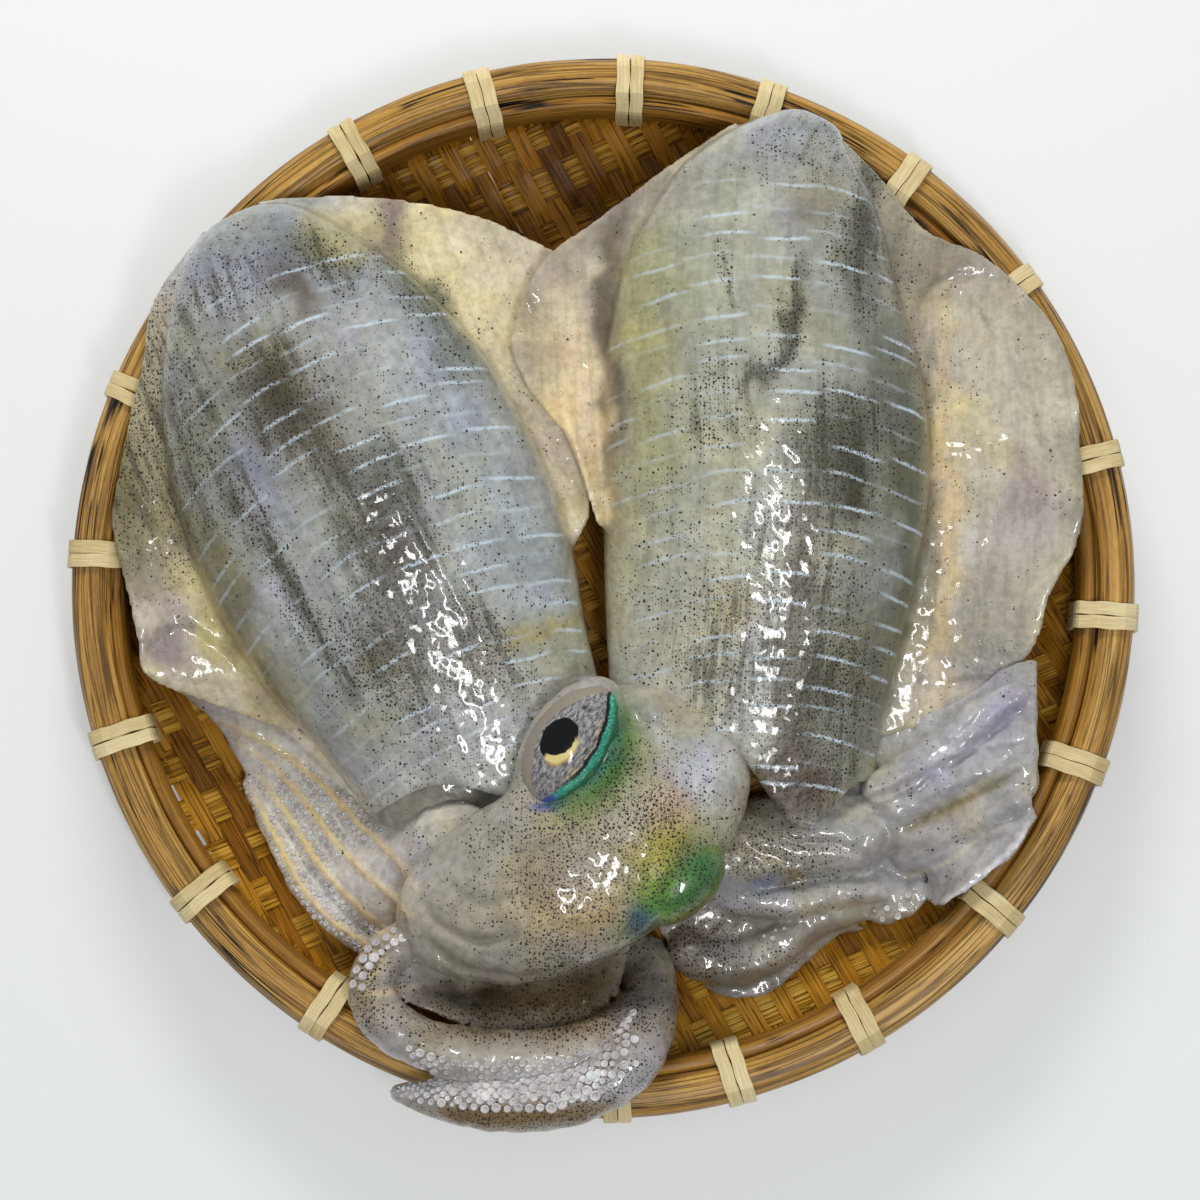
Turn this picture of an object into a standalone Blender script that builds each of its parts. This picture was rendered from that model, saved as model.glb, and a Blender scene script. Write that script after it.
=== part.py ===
"""Two whole raw squid on a round woven bamboo tray.

The tray stands on the ground plane with its centre at the origin. Each squid lies along its own heading:
the left one from the tray's upper left edge to the middle, the right one from the top edge down, with its
head bent over the left one's mouth. The right squid's head and arms lie on top of the left squid's.
All sizes below are in millimetres, and MM turns them into Blender's metres.
"""

import math

import bmesh
import bpy
import numpy as np
from mathutils import Vector

MM = 0.001
CLEARANCE = 0.45  # between pieces that touch
WELD_DISTANCE = 0.02

# The tray: a woven mat held between two bent hoops, lashed with cane.
RIM_RADIUS = 150.0
RIM_HEIGHT = 31.5
OUTER_HOOP = {"inside": 139.8, "outside": RIM_RADIUS, "low": 18.0, "high": RIM_HEIGHT, "round": 2.6}
INNER_HOOP = {"inside": 133.0, "outside": 138.1, "low": 16.0, "high": 29.5, "round": 1.2}
TRAY_STEPS = 48
MAT_THICKNESS = 2.4
MAT_FLAT_RADIUS = 96.0
MAT_RISE = 12.4
FLANK_RADIUS = 137.2
FLANK_STEPS = 4
WALL_INSIDE = 138.4
WALL_THICKNESS = 1.0
WALL_FOOT = 15.9
WALL_HEIGHT = 28.0
TIE_WIDTH = 7.8
TIE_THICKNESS = 0.8
TIE_GAP = 0.6
TIE_TURNS = (
    *(87, 71, 53, 35.5, 14, -4, -21, -40, -60, -75),
    *(-88.5, -106, -123, -142, -162, 177, 158, 141, 120, 104),
)
TIE_TOP = RIM_HEIGHT + TIE_GAP + TIE_THICKNESS
RIM_LIP_START = 127.0  # soft things ride up over the rim between these radii
RIM_LIP_END = 130.6

# The squid: shared make-up of both mantles.
MANTLE_SIDES = 16
MANTLE_RINGS = 16
OUTSIDE_RINGS = 12
MANTLE_WALL = 3.5
MOUTH_DEPTH = 22.0
TAIL_CROWDING = 1.35  # over 1 packs the rings towards the tail, where the shape turns fastest
TOP_ROUNDNESS = 0.9
BELLY_ROUNDNESS = 0.72
LOBE_WIDTH = 0.42  # radians round the mouth
FIN_ROOT_INSET = 0.86
FIN_THICKNESS = 3.2
FIN_EDGE_SHARE = 0.4
FIN_SAG = 1.5
FIN_COLUMNS = 11
FIN_ROWS = 3
ARM_POINTS = 9
ARM_SMALLEST_RADIUS = 1.0

# Mantle stations: from the tail tip, shift to the right, half-width, underside height, top height.
LEFT_SQUID = {
    "name": "left_squid",
    "tail": (-103, 102),
    "heading": -64.5,
    "mouth": 165,
    "slant": -3,
    "lobe": 17,
    "lobe_at": 80,
    "stations": (
        (0, 0, 3, 37, 43),
        (4, 0, 13, 34.5, 47),
        (11, 0, 21.5, 33.6, 51),
        (28, -1, 33.5, 27, 55.5),
        (56, -1.5, 45.5, 14, 58),
        (84, -2, 50, 6, 56),
        (118, -2, 48.5, 3.2, 50),
        (149, -2, 40.5, 3.2, 42),
        (184, -2, 34, 3.2, 34),
    ),
}
RIGHT_SQUID = {
    "name": "right_squid",
    "tail": (44, 131.6),
    "heading": -90,
    "mouth": 176,
    "slant": 12,
    "lobe": 20,
    "lobe_at": 66,
    "stations": (
        (0, 9.5, 3, 37, 43),
        (4, 8, 12, 34.5, 47),
        (12, 3.5, 20.5, 33.6, 51),
        (29, 0.5, 32, 27, 55.5),
        (48, -1, 38.5, 17, 58),
        (74, 0.5, 45, 8, 57.5),
        (106, 2, 46, 3.2, 53),
        (136, 0, 43.5, 3.2, 46),
        (173, -3.5, 38, 3.2, 36),
        (202, -3.5, 36, 3.2, 29),
    ),
}

# Fin ribs: from the tail tip, then the outer edge's x, y and height.
LEFT_OUTER_FIN = (
    (2, -113, 99, 36),
    (8, -126, 79, 36),
    (22, -129, 61, 35.5),
    (36, -133, 44, 35.5),
    (57, -137, 19, 35.5),
    (75, -135, 5, 35.5),
    (96, -130, -15, 35),
    (112, -127, -27, 33),
    (124, -114, -33, 26),
    (137, -89, -42, 16),
)
LEFT_INNER_FIN = (
    (2, -97, 108, 37),
    (12, -78, 108, 37),
    (28, -55, 107, 35),
    (42, -35, 103, 33),
    (55, -21, 97, 31),
    (72, -7, 89, 30),
    (91, 0, 75, 30),
    (115, -2, 47, 29),
    (133, -4, 18, 27),
)
RIGHT_INNER_FIN = (
    (6, 37, 128, 40),
    (13, 24, 120, 39),
    (24, 14, 113, 38.5),
    (34, -2, 101, 38),
    (48, -17, 89, 38),
    (62, -26, 68, 38),
    (82, -21, 53, 39),
    (102, -10, 39, 39),
    (121, -1, 15, 36),
)
RIGHT_OUTER_FIN = (
    (8, 67, 124, 38),
    (20, 79, 112, 37),
    (34, 91, 98, 36),
    (48, 107, 91, 36),
    (62, 124, 75, 35.5),
    (79, 132, 56, 35.5),
    (99, 134, 33, 35.5),
    (119, 133, 12, 35.5),
    (138, 125, -4, 33),
    (158, 120, -20, 30),
    (178, 104, -36, 25),
)

# Head stations: centre x, y and height, then half-width and half-height.
LEFT_HEAD = (
    (-33, -50, 17, 9, 8),
    (-24, -62, 16, 12, 10),
    (-4, -74, 14, 14, 10.3),
    (18, -79, 14, 14, 10),
    (40, -75, 14.5, 13.5, 10),
    (58, -71.5, 15, 13, 10),
    (74, -70, 16, 11, 8.5),
    (84, -69, 17, 5, 5),
)
RIGHT_HEAD = (
    (36, -44, 18, 8, 8),
    (26, -53, 25, 17, 12),
    (17, -60, 34, 25, 14),
    (6, -67, 41, 29, 15),
    (-13, -82, 42, 26.5, 15),
    (-30, -89, 40, 24, 13.5),
    (-47, -93.5, 36, 16, 11),
    (-56, -95, 32, 6, 6),
)
HEAD_SIDES = 12
HEAD_RINGS = 10
HEAD_STEP = 0.02  # share of the head's length, for finding which way it runs
EYE_SIDES = 10
EYE_RINGS = 8
EYE_RADII = (14, 8.5, 11)  # along the head, across it, and upwards
EYE_TURN = 38.5
EYES = {"upper": (-9, -45.5, 42), "lower": (23.5, -85, 41)}

# Arm points: centre x, y and height, then radius.
RIGHT_ARMS = (
    (
        (-50, -87, 28, 5),
        (-59, -77, 20, 4.8),
        (-69, -68, 14, 4.5),
        (-79, -58, 11.5, 4.2),
        (-90, -49, 10.5, 3.8),
        (-101, -42.5, 10.5, 3.2),
        (-111, -38, 11, 2),
    ),
    (
        (-52, -94, 26, 5),
        (-59, -88, 19, 5),
        (-68, -81, 14, 4.8),
        (-76, -73, 12, 4.6),
        (-83, -64, 11, 4.3),
        (-90, -56, 10.5, 3.8),
        (-98, -49, 10, 3),
        (-105, -44.5, 10, 2),
    ),
    (
        (-54, -101, 24, 5),
        (-62, -97, 17, 4.8),
        (-72, -89, 13, 4.6),
        (-81, -79, 11.5, 4.4),
        (-88, -68, 11, 4),
        (-95, -58.5, 10.5, 3.2),
        (-101, -51, 10, 2),
    ),
    (
        (-60, -105, 21, 4.4),
        (-67, -101.5, 15, 4.2),
        (-77, -95, 13.5, 4),
        (-86, -85, 12.5, 3.8),
        (-92, -74, 11.5, 3.4),
        (-98, -63, 10.5, 2.8),
        (-102, -55, 10, 1.8),
    ),
    (
        (-52, -99, 34, 6),
        (-60, -104, 35, 6.3),
        (-64, -112, 38, 6.6),
        (-60, -121, 41, 7),
        (-50, -127.5, 41.5, 7),
        (-34, -130.5, 41.5, 7),
        (-17, -130.5, 41, 6.6),
        (-3, -127, 39, 6),
        (5, -121, 34, 4.6),
        (8, -115, 28, 2.5),
    ),
    (
        (8, -100, 14, 7),
        (12, -110, 17, 8),
        (13, -121, 28, 8),
        (8, -132, 41, 8),
        (-2, -139.5, 42, 8),
        (-14, -143, 42, 8),
        (-30, -144, 41.5, 7.6),
        (-44, -143, 40, 6),
        (-59, -141, 37, 2),
    ),
)
LEFT_ARMS = (
    (
        (32, -88, 14, 4.5),
        (44, -89.5, 15, 5),
        (55, -89.5, 15, 5),
        (67, -87, 15, 4.5),
        (78, -87, 14.5, 3.6),
        (86, -88, 14, 1.8),
    ),
    (
        (20, -99, 11, 6),
        (27, -106, 10.8, 6.4),
        (38, -107.5, 11, 6.4),
        (48, -103.5, 11.5, 6),
        (57, -97, 12, 5),
        (67, -94, 12, 4),
        (76, -93, 12, 2),
    ),
    ((74, -61, 20, 5.5), (84, -55, 23, 5.8), (95, -47, 27, 5.6), (107, -37, 31, 5), (119, -30, 34, 3)),
    ((78, -67, 19, 5.5), (92, -60, 22, 5.8), (106, -51, 28, 5.4), (119, -41, 34, 3.5)),
    ((80, -72, 18, 5), (94, -68, 21.5, 5.4), (107, -60, 29, 5), (119, -51, 37, 3.4)),
    ((82, -77.5, 16, 4.6), (94, -75, 20, 5), (106, -68, 30, 4.6), (117, -60, 38.5, 3)),
    (
        (89, -83, 15, 3),
        (89.5, -87, 14.5, 3.3),
        (86, -91, 14, 3.4),
        (80.5, -93.5, 13.5, 3),
        (75, -94, 13, 1.8),
    ),
)

# Web ribs: inner edge x, y and height, then outer edge x, y and height.
LOWER_WEB = (
    (24, -107, 9, 29, -115, 9),
    (34, -110, 9, 37, -118, 10),
    (45, -108, 9, 48, -116, 10.5),
    (53, -103, 10, 58, -108, 9.5),
    (61, -98.5, 10, 66, -101, 9),
    (70, -95.5, 11, 75, -98, 9.5),
)
UPPER_WEB = (
    (94, -81, 22, 92, -91, 17),
    (100, -78, 27, 100, -87, 35.5),
    (106, -74.5, 33, 108, -81, 37),
    (112, -70, 37.5, 114, -75.5, 38),
    (117, -65, 39.5, 120, -68.5, 38.5),
)
HEAD_WEB = (
    (-44, -106, 28, -52, -118, 36),
    (-30, -108, 27, -36, -123.5, 37),
    (-15, -109, 26, -18, -124, 37),
    (0, -105, 25, -3, -121, 34),
    (9, -99, 24, 5, -113, 28),
)
WEB_THICKNESS = 1.8


def start_collection(name):
    """Empty the scene, and return a new collection for the model."""
    for obj in list(bpy.data.objects):
        bpy.data.objects.remove(obj, do_unlink=True)
    collection = bpy.data.collections.new(name)
    bpy.context.scene.collection.children.link(collection)
    return collection


MODEL = start_collection("squid_tray")


# ---------------------------------------------------------------- materials


def make_material(name, colour, roughness):
    material = bpy.data.materials.new(name)
    material.use_nodes = True
    shader = material.node_tree.nodes["Principled BSDF"]
    shader.inputs["Base Color"].default_value = (*colour, 1)
    shader.inputs["Roughness"].default_value = roughness
    shader.inputs["Metallic"].default_value = 0
    material.diffuse_color = (*colour, 1)
    return material


MAT_BAMBOO = make_material("woven_bamboo", (0.42, 0.20, 0.04), 0.45)
HOOP_BAMBOO = make_material("bent_bamboo", (0.50, 0.25, 0.07), 0.4)
CANE = make_material("lashing_cane", (0.78, 0.66, 0.42), 0.5)
MANTLE_SKIN = make_material("mantle_skin", (0.42, 0.44, 0.40), 0.2)
FIN_SKIN = make_material("fin_skin", (0.62, 0.56, 0.46), 0.2)
HEAD_SKIN = make_material("head_skin", (0.55, 0.52, 0.45), 0.2)
ARM_SKIN = make_material("arm_skin", (0.50, 0.48, 0.47), 0.15)
EYE = make_material("eye", (0.05, 0.22, 0.18), 0.1)


# ---------------------------------------------------------------- helpers


def smooth_row(rows, at):
    """The values at a key, on a smooth curve through the rows. The first column of rows is the key."""
    rows = np.asarray(rows, float)
    keys, values = rows[:, 0], rows[:, 1:]
    slopes = np.gradient(values, keys, axis=0)
    low = int(np.clip(np.searchsorted(keys, at) - 1, 0, len(keys) - 2))
    span = keys[low + 1] - keys[low]
    t = (at - keys[low]) / span
    return (
        (2 * t**3 - 3 * t**2 + 1) * values[low]
        + (t**3 - 2 * t**2 + t) * span * slopes[low]
        + (3 * t**2 - 2 * t**3) * values[low + 1]
        + (t**3 - t**2) * span * slopes[low + 1]
    )


def numbered(rows):
    """The rows with their own number from 0 to 1 as the key."""
    return [(i / (len(rows) - 1), *row) for i, row in enumerate(rows)]


def mat_height(radius, rise=MAT_RISE):
    """How far the mat has curved up from the ground at this radius."""
    t = max(0.0, (radius - MAT_FLAT_RADIUS) / (WALL_INSIDE - MAT_FLAT_RADIUS))
    return rise * t * t


def resting_height(x, y):
    """The lowest height at which something soft can lie here: on the mat, or over the lashed rim."""
    radius = math.hypot(x, y)
    floor = MAT_THICKNESS + CLEARANCE + mat_height(min(radius, WALL_INSIDE))
    near_rim = min(1.0, max(0.0, (radius - RIM_LIP_START) / (RIM_LIP_END - RIM_LIP_START)))
    ramp = near_rim * near_rim * (3 - 2 * near_rim)
    return floor + (TIE_TOP + CLEARANCE - floor) * ramp


def rest_on_tray(point, below=0.0):
    """The point, raised if it would be less than below over the tray."""
    x, y, z = point
    return Vector((x, y, max(z, resting_height(x, y) + below)))


def add_object(name, mesh, material):
    mesh.name = name
    obj = bpy.data.objects.new(name, mesh)
    obj.data.materials.clear()
    obj.data.materials.append(material)
    MODEL.objects.link(obj)
    return obj


def face_outwards(bm):
    """Make the faces agree, and turn them all round if they point into the body."""
    bmesh.ops.recalc_face_normals(bm, faces=bm.faces)
    if bm.calc_volume(signed=True) < 0:
        bmesh.ops.reverse_faces(bm, faces=bm.faces)


def mesh_from(bm, name, smooth=True):
    mesh = bpy.data.meshes.new(name)
    bm.to_mesh(mesh)
    bm.free()
    if smooth:
        mesh.shade_smooth()
    return mesh


def keep_largest_body(bm):
    """Delete every loose body but the one with the most faces."""
    unseen = set(bm.verts)
    bodies = []
    while unseen:
        body, edge_of_search = set(), [unseen.pop()]
        while edge_of_search:
            vertex = edge_of_search.pop()
            body.add(vertex)
            near = {e.other_vert(vertex) for e in vertex.link_edges} & unseen
            unseen -= near
            edge_of_search.extend(near)
        bodies.append(body)
    bodies.sort(key=len)
    spare = [vertex for body in bodies[:-1] for vertex in body]
    bmesh.ops.delete(bm, geom=spare, context="VERTS")


def settle(obj):
    """Turn an object's modifiers, or its curve, into a plain welded mesh of one body."""
    depsgraph = bpy.context.evaluated_depsgraph_get()
    mesh = bpy.data.meshes.new_from_object(obj.evaluated_get(depsgraph))
    bm = bmesh.new()
    bm.from_mesh(mesh)
    bmesh.ops.remove_doubles(bm, verts=bm.verts, dist=WELD_DISTANCE * MM)
    keep_largest_body(bm)
    face_outwards(bm)
    bm.to_mesh(mesh)
    bm.free()
    if obj.type == "CURVE":
        settled = add_object(obj.name, mesh, obj.data.materials[0])
        settled.matrix_world = obj.matrix_world
        name = obj.name
        bpy.data.objects.remove(obj, do_unlink=True)
        settled.name = name
        return settled
    obj.modifiers.clear()
    obj.data = mesh
    mesh.shade_smooth()
    return obj


def bounds(obj):
    points = np.array([obj.matrix_world @ v.co for v in obj.data.vertices])
    return points.min(axis=0), points.max(axis=0)


def keep_clear(obj, others):
    """Cut an object back from each of the others that it meets, so that a gap is left."""
    low, high = bounds(obj)
    cutters = []
    for other in others:
        other_low, other_high = bounds(other)
        reach = 2 * CLEARANCE * MM
        if (other_low > high + reach).any() or (other_high < low - reach).any():
            continue
        cutter = other.copy()
        cutter.data = other.data.copy()
        cutter.name = "cutter_" + other.name
        cutter.hide_render = True
        cutter.display_type = "WIRE"
        MODEL.objects.link(cutter)
        swell = cutter.modifiers.new("Clearance", "DISPLACE")
        swell.strength = CLEARANCE * MM
        swell.mid_level = 0
        cut = obj.modifiers.new("Clear of " + other.name, "BOOLEAN")
        cut.operation = "DIFFERENCE"
        cut.object = cutter
        cutters.append(cutter)
    if cutters:
        bpy.context.view_layer.update()
        settle(obj)
    for cutter in cutters:
        bpy.data.objects.remove(cutter, do_unlink=True)
    return obj


def solid_along(name, rows, sides, rings, material):
    """A closed rounded body along stations of centre x, y, height, half-width and half-height."""
    rows = numbered(rows)
    bm = bmesh.new()
    bmesh.ops.create_uvsphere(bm, u_segments=sides, v_segments=rings, radius=1)
    for vertex in bm.verts:
        ring = round(math.acos(max(-1.0, min(1.0, -vertex.co.z))) / math.pi * rings)
        along = ring / rings
        angle = math.atan2(vertex.co.y, vertex.co.x)
        x, y, z, half_width, half_height = smooth_row(rows, along)
        before = smooth_row(rows, max(0.0, along - HEAD_STEP))
        after = smooth_row(rows, min(1.0, along + HEAD_STEP))
        ahead = Vector(after[:3]) - Vector(before[:3])
        side = ahead.cross(Vector((0, 0, 1))).normalized()
        up = side.cross(ahead).normalized()
        offset = side * half_width * math.cos(angle) + up * half_height * math.sin(angle)
        if ring in (0, rings):  # the two ends close on the middle line
            offset.zero()
        vertex.co = rest_on_tray(Vector((x, y, z)) + offset) * MM
    face_outwards(bm)
    return add_object(name, mesh_from(bm, name), material)


# ---------------------------------------------------------------- tray


def turned(name, profile, material):
    """A closed profile of radius and height pairs, turned once round the upright axis."""
    bm = bmesh.new()
    points = [bm.verts.new((radius * MM, 0, height * MM)) for radius, height in profile]
    for start, end in zip(points, points[1:]):
        bm.edges.new((start, end))
    if profile[0][0] > 0:
        bm.edges.new((points[-1], points[0]))
    obj = add_object(name, mesh_from(bm, name, smooth=False), material)
    screw = obj.modifiers.new("Turn", "SCREW")
    screw.steps = screw.render_steps = TRAY_STEPS
    screw.use_merge_vertices = True
    screw.merge_threshold = WELD_DISTANCE * MM
    screw.use_smooth_shade = False
    return obj


def hoop(name, sizes):
    """A bent bamboo band with its four long edges taken off."""
    low, high, inside, outside, cut = (sizes[k] for k in ("low", "high", "inside", "outside", "round"))
    profile = [
        (outside - cut, high),
        (outside, high - cut),
        (outside, low + cut),
        (outside - cut, low),
        (inside, low),
        (inside, high),
    ]
    return turned(name, profile, HOOP_BAMBOO)


def tie_outline(off):
    """Radius and height pairs round both hoops, this far off their faces."""
    inner, outer = INNER_HOOP, OUTER_HOOP
    return [
        (inner["inside"] - off, inner["low"] - off),
        (inner["outside"], inner["low"] - off),
        (outer["outside"] + off, outer["low"] - off),
        (outer["outside"] + off, outer["high"] - outer["round"]),
        (outer["outside"] - outer["round"], outer["high"] + off),
        (outer["inside"] - inner["round"], outer["high"] + off),
        (inner["inside"] - off, inner["high"] + off / 2),
    ]


def tie(name, turn):
    """A flat cane band round both hoops, at this angle round the tray."""
    curve = bpy.data.curves.new(name, "CURVE")
    curve.dimensions = "2D"
    curve.fill_mode = "BOTH"
    curve.extrude = TIE_WIDTH / 2 * MM
    for off in (TIE_GAP, TIE_GAP + TIE_THICKNESS):
        outline = tie_outline(off)
        spline = curve.splines.new("POLY")
        spline.points.add(len(outline) - 1)
        spline.use_cyclic_u = True
        for point, (radius, height) in zip(spline.points, outline):
            point.co = (radius * MM, height * MM, 0, 1)
    obj = bpy.data.objects.new(name, curve)
    curve.materials.append(CANE)
    MODEL.objects.link(obj)
    obj.rotation_euler = (math.pi / 2, 0, math.radians(turn))
    return obj


def tray_mat():
    """The woven bowl: a flat floor, a flank that curves up to the lashings, and a thin wall that stands
    above them between the hoops."""
    floor_edge = MAT_FLAT_RADIUS - CLEARANCE / 2
    floor = [(0, MAT_THICKNESS), (floor_edge, MAT_THICKNESS), (floor_edge, 0), (0, 0)]
    turned("tray_mat_floor", floor, MAT_BAMBOO)
    radii = np.linspace(MAT_FLAT_RADIUS + CLEARANCE / 2, FLANK_RADIUS, FLANK_STEPS + 1)
    flank = [(radius, MAT_THICKNESS + mat_height(radius)) for radius in radii]
    flank += [(radius, mat_height(radius)) for radius in reversed(radii)]
    turned("tray_mat_flank", flank, MAT_BAMBOO)
    inside, outside = WALL_INSIDE, WALL_INSIDE + WALL_THICKNESS
    wall = [(inside, WALL_FOOT), (inside, WALL_HEIGHT), (outside, WALL_HEIGHT), (outside, WALL_FOOT)]
    turned("tray_mat_wall", wall, MAT_BAMBOO)


# ---------------------------------------------------------------- squid


def mantle_point(squid, along, angle, share=1.0, wall=0.0):
    """A point of a mantle: its distance from the tail, its angle from the right-hand side, how far out
    it is from the middle line, and how far inside the skin."""
    heading = math.radians(squid["heading"])
    ahead = Vector((math.cos(heading), math.sin(heading), 0))
    right = Vector((-ahead.y, ahead.x, 0))
    shift, half_width, low, high = smooth_row(squid["stations"], along)
    roundness = TOP_ROUNDNESS if math.sin(angle) > 0 else BELLY_ROUNDNESS
    lift = math.copysign(abs(math.sin(angle)) ** roundness, math.sin(angle))
    across = (half_width - wall) * math.cos(angle) * share
    middle = (low + high) / 2
    rise = ((high - low) / 2 - wall) * lift * share
    tail = Vector((*squid["tail"], middle))
    return tail + ahead * along + right * (shift + across) + Vector((0, 0, rise))


def mouth_edge(squid, angle):
    """How far from the tail the mantle's rim is at this angle. The back has a pointed lobe."""
    off_lobe = angle - math.radians(squid["lobe_at"])
    lobe = squid["lobe"] * math.exp(-((off_lobe / LOBE_WIDTH) ** 2))
    return squid["mouth"] + squid["slant"] * math.cos(angle) + lobe


def mantle(squid):
    """The hollow-mouthed body: a ball whose rings run from the tail to the rim and back inside."""
    name = squid["name"] + "_mantle"
    bm = bmesh.new()
    bmesh.ops.create_uvsphere(bm, u_segments=MANTLE_SIDES, v_segments=MANTLE_RINGS, radius=1)
    inside_rings = MANTLE_RINGS - OUTSIDE_RINGS
    for vertex in bm.verts:
        ring = round(math.acos(max(-1.0, min(1.0, -vertex.co.z))) / math.pi * MANTLE_RINGS)
        angle = math.atan2(vertex.co.y, vertex.co.x)
        edge = mouth_edge(squid, angle)
        if ring <= OUTSIDE_RINGS:
            along = edge * (ring / OUTSIDE_RINGS) ** TAIL_CROWDING
            point = mantle_point(squid, along, angle, share=min(1, ring))
        elif ring < MANTLE_RINGS:
            depth = MOUTH_DEPTH * (ring - OUTSIDE_RINGS - 1) / (inside_rings - 1)
            point = mantle_point(squid, edge - depth, angle, wall=MANTLE_WALL)
        else:
            point = mantle_point(squid, squid["mouth"] - MOUTH_DEPTH, 0, share=0)
        vertex.co = rest_on_tray(point) * MM
    face_outwards(bm)
    return add_object(name, mesh_from(bm, name), MANTLE_SKIN)


def sheet(name, ribs, thickness, material, sag=0.0):
    """A skirt of skin between an inner and an outer edge, thin at the outer one. Each rib gives a point
    on both edges."""
    ribs = numbered(ribs)
    bm = bmesh.new()
    bmesh.ops.create_grid(bm, x_segments=FIN_COLUMNS, y_segments=FIN_ROWS, size=0.5)
    thin = []
    for vertex in bm.verts:
        along, out = vertex.co.x + 0.5, vertex.co.y + 0.5
        rib = smooth_row(ribs, along)
        point = Vector(rib[:3]).lerp(Vector(rib[3:]), out)
        point.z -= sag * math.sin(math.pi * out)
        vertex.co = rest_on_tray(point, thickness / 2) * MM
        thin.append(1 - out)
    obj = add_object(name, mesh_from(bm, name), material)
    body = obj.vertex_groups.new(name="body")
    for index, weight in enumerate(thin):
        body.add([index], weight, "REPLACE")
    wall = obj.modifiers.new("Thickness", "SOLIDIFY")
    wall.thickness = thickness * MM
    wall.offset = 0
    wall.vertex_group = "body"
    wall.thickness_vertex_group = FIN_EDGE_SHARE
    return settle(obj)


def fin(squid, part, ribs):
    """A fin from the mantle's side out to its edge. Its root starts inside the mantle, which cuts it."""
    angle = math.pi if part in ("outer_left", "inner_left") else 0.0
    rows = []
    for along, x, y, z in ribs:
        root = mantle_point(squid, along, angle, share=FIN_ROOT_INSET)
        rows.append((*root, x, y, z))
    return sheet(squid["name"] + "_fin_" + part, rows, FIN_THICKNESS, FIN_SKIN, sag=FIN_SAG)


def eye(name, centre):
    """An eyeball drawn out along the head."""
    bm = bmesh.new()
    bmesh.ops.create_uvsphere(bm, u_segments=EYE_SIDES, v_segments=EYE_RINGS, radius=1)
    bmesh.ops.scale(bm, verts=bm.verts, vec=Vector(EYE_RADII) * MM)
    obj = add_object(name, mesh_from(bm, name), EYE)
    obj.location = Vector(centre) * MM
    obj.rotation_euler = (0, 0, math.radians(EYE_TURN))
    bpy.context.view_layer.update()
    return obj


def arm(name, points):
    """A tapering arm: a tube on a smooth curve through its points."""
    curve = bpy.data.curves.new(name, "CURVE")
    curve.dimensions = "3D"
    curve.bevel_depth = MM
    curve.bevel_resolution = 1
    curve.use_fill_caps = True
    spline = curve.splines.new("POLY")
    spline.points.add(ARM_POINTS - 1)
    rows = numbered(points)
    for i, point in enumerate(spline.points):
        x, y, z, radius = smooth_row(rows, i / (ARM_POINTS - 1))
        point.co = (x * MM, y * MM, z * MM, 1)
        point.radius = max(radius, ARM_SMALLEST_RADIUS)
    curve.materials.append(ARM_SKIN)
    obj = bpy.data.objects.new(name, curve)
    MODEL.objects.link(obj)
    bpy.context.view_layer.update()
    obj = settle(obj)
    for vertex in obj.data.vertices:
        vertex.co = rest_on_tray(vertex.co / MM) * MM
    return obj


# ---------------------------------------------------------------- assembly


def build_tray():
    tray_mat()
    hoop("tray_hoop_outer", OUTER_HOOP)
    hoop("tray_hoop_inner", INNER_HOOP)
    for number, turn in enumerate(TIE_TURNS, start=1):
        tie(f"tray_tie_{number:02d}", turn)


def build_squid():
    """Both squid, from the bottom up. What is made later is cut back from what is already there."""
    laid = []

    def lay(obj):
        keep_clear(obj, laid)
        laid.append(obj)

    lay(mantle(LEFT_SQUID))
    lay(mantle(RIGHT_SQUID))
    for place, centre in EYES.items():
        lay(eye(f"right_squid_eye_{place}", centre))
    lay(solid_along("left_squid_head", LEFT_HEAD, HEAD_SIDES, HEAD_RINGS, HEAD_SKIN))
    lay(solid_along("right_squid_head", RIGHT_HEAD, HEAD_SIDES, HEAD_RINGS, HEAD_SKIN))
    lay(fin(LEFT_SQUID, "outer_left", LEFT_OUTER_FIN))
    lay(fin(RIGHT_SQUID, "outer_right", RIGHT_OUTER_FIN))
    lay(fin(RIGHT_SQUID, "inner_left", RIGHT_INNER_FIN))
    lay(fin(LEFT_SQUID, "inner_right", LEFT_INNER_FIN))
    for number, points in enumerate(RIGHT_ARMS, start=1):
        lay(arm(f"right_squid_arm_{number}", points))
    for number, points in enumerate(LEFT_ARMS, start=1):
        lay(arm(f"left_squid_arm_{number}", points))
    lay(sheet("left_squid_web_lower", LOWER_WEB, WEB_THICKNESS, ARM_SKIN))
    lay(sheet("left_squid_web_upper", UPPER_WEB, WEB_THICKNESS, ARM_SKIN))
    lay(sheet("right_squid_web", HEAD_WEB, WEB_THICKNESS, ARM_SKIN))


build_tray()
build_squid()
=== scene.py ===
# %% [markdown]
# # Two raw squid on a woven bamboo tray
#
# The measured model of the tray and the squid is loaded first, and it fixes every size and place. Each
# cell after that builds one kind of piece over it and gives the piece its finish. The tray comes first,
# from the weave out to the lashings, and then the squid, from the bodies to the suckers.

import math

import bmesh
import bpy
import numpy as np
from mathutils import Matrix, Vector, noise


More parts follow.
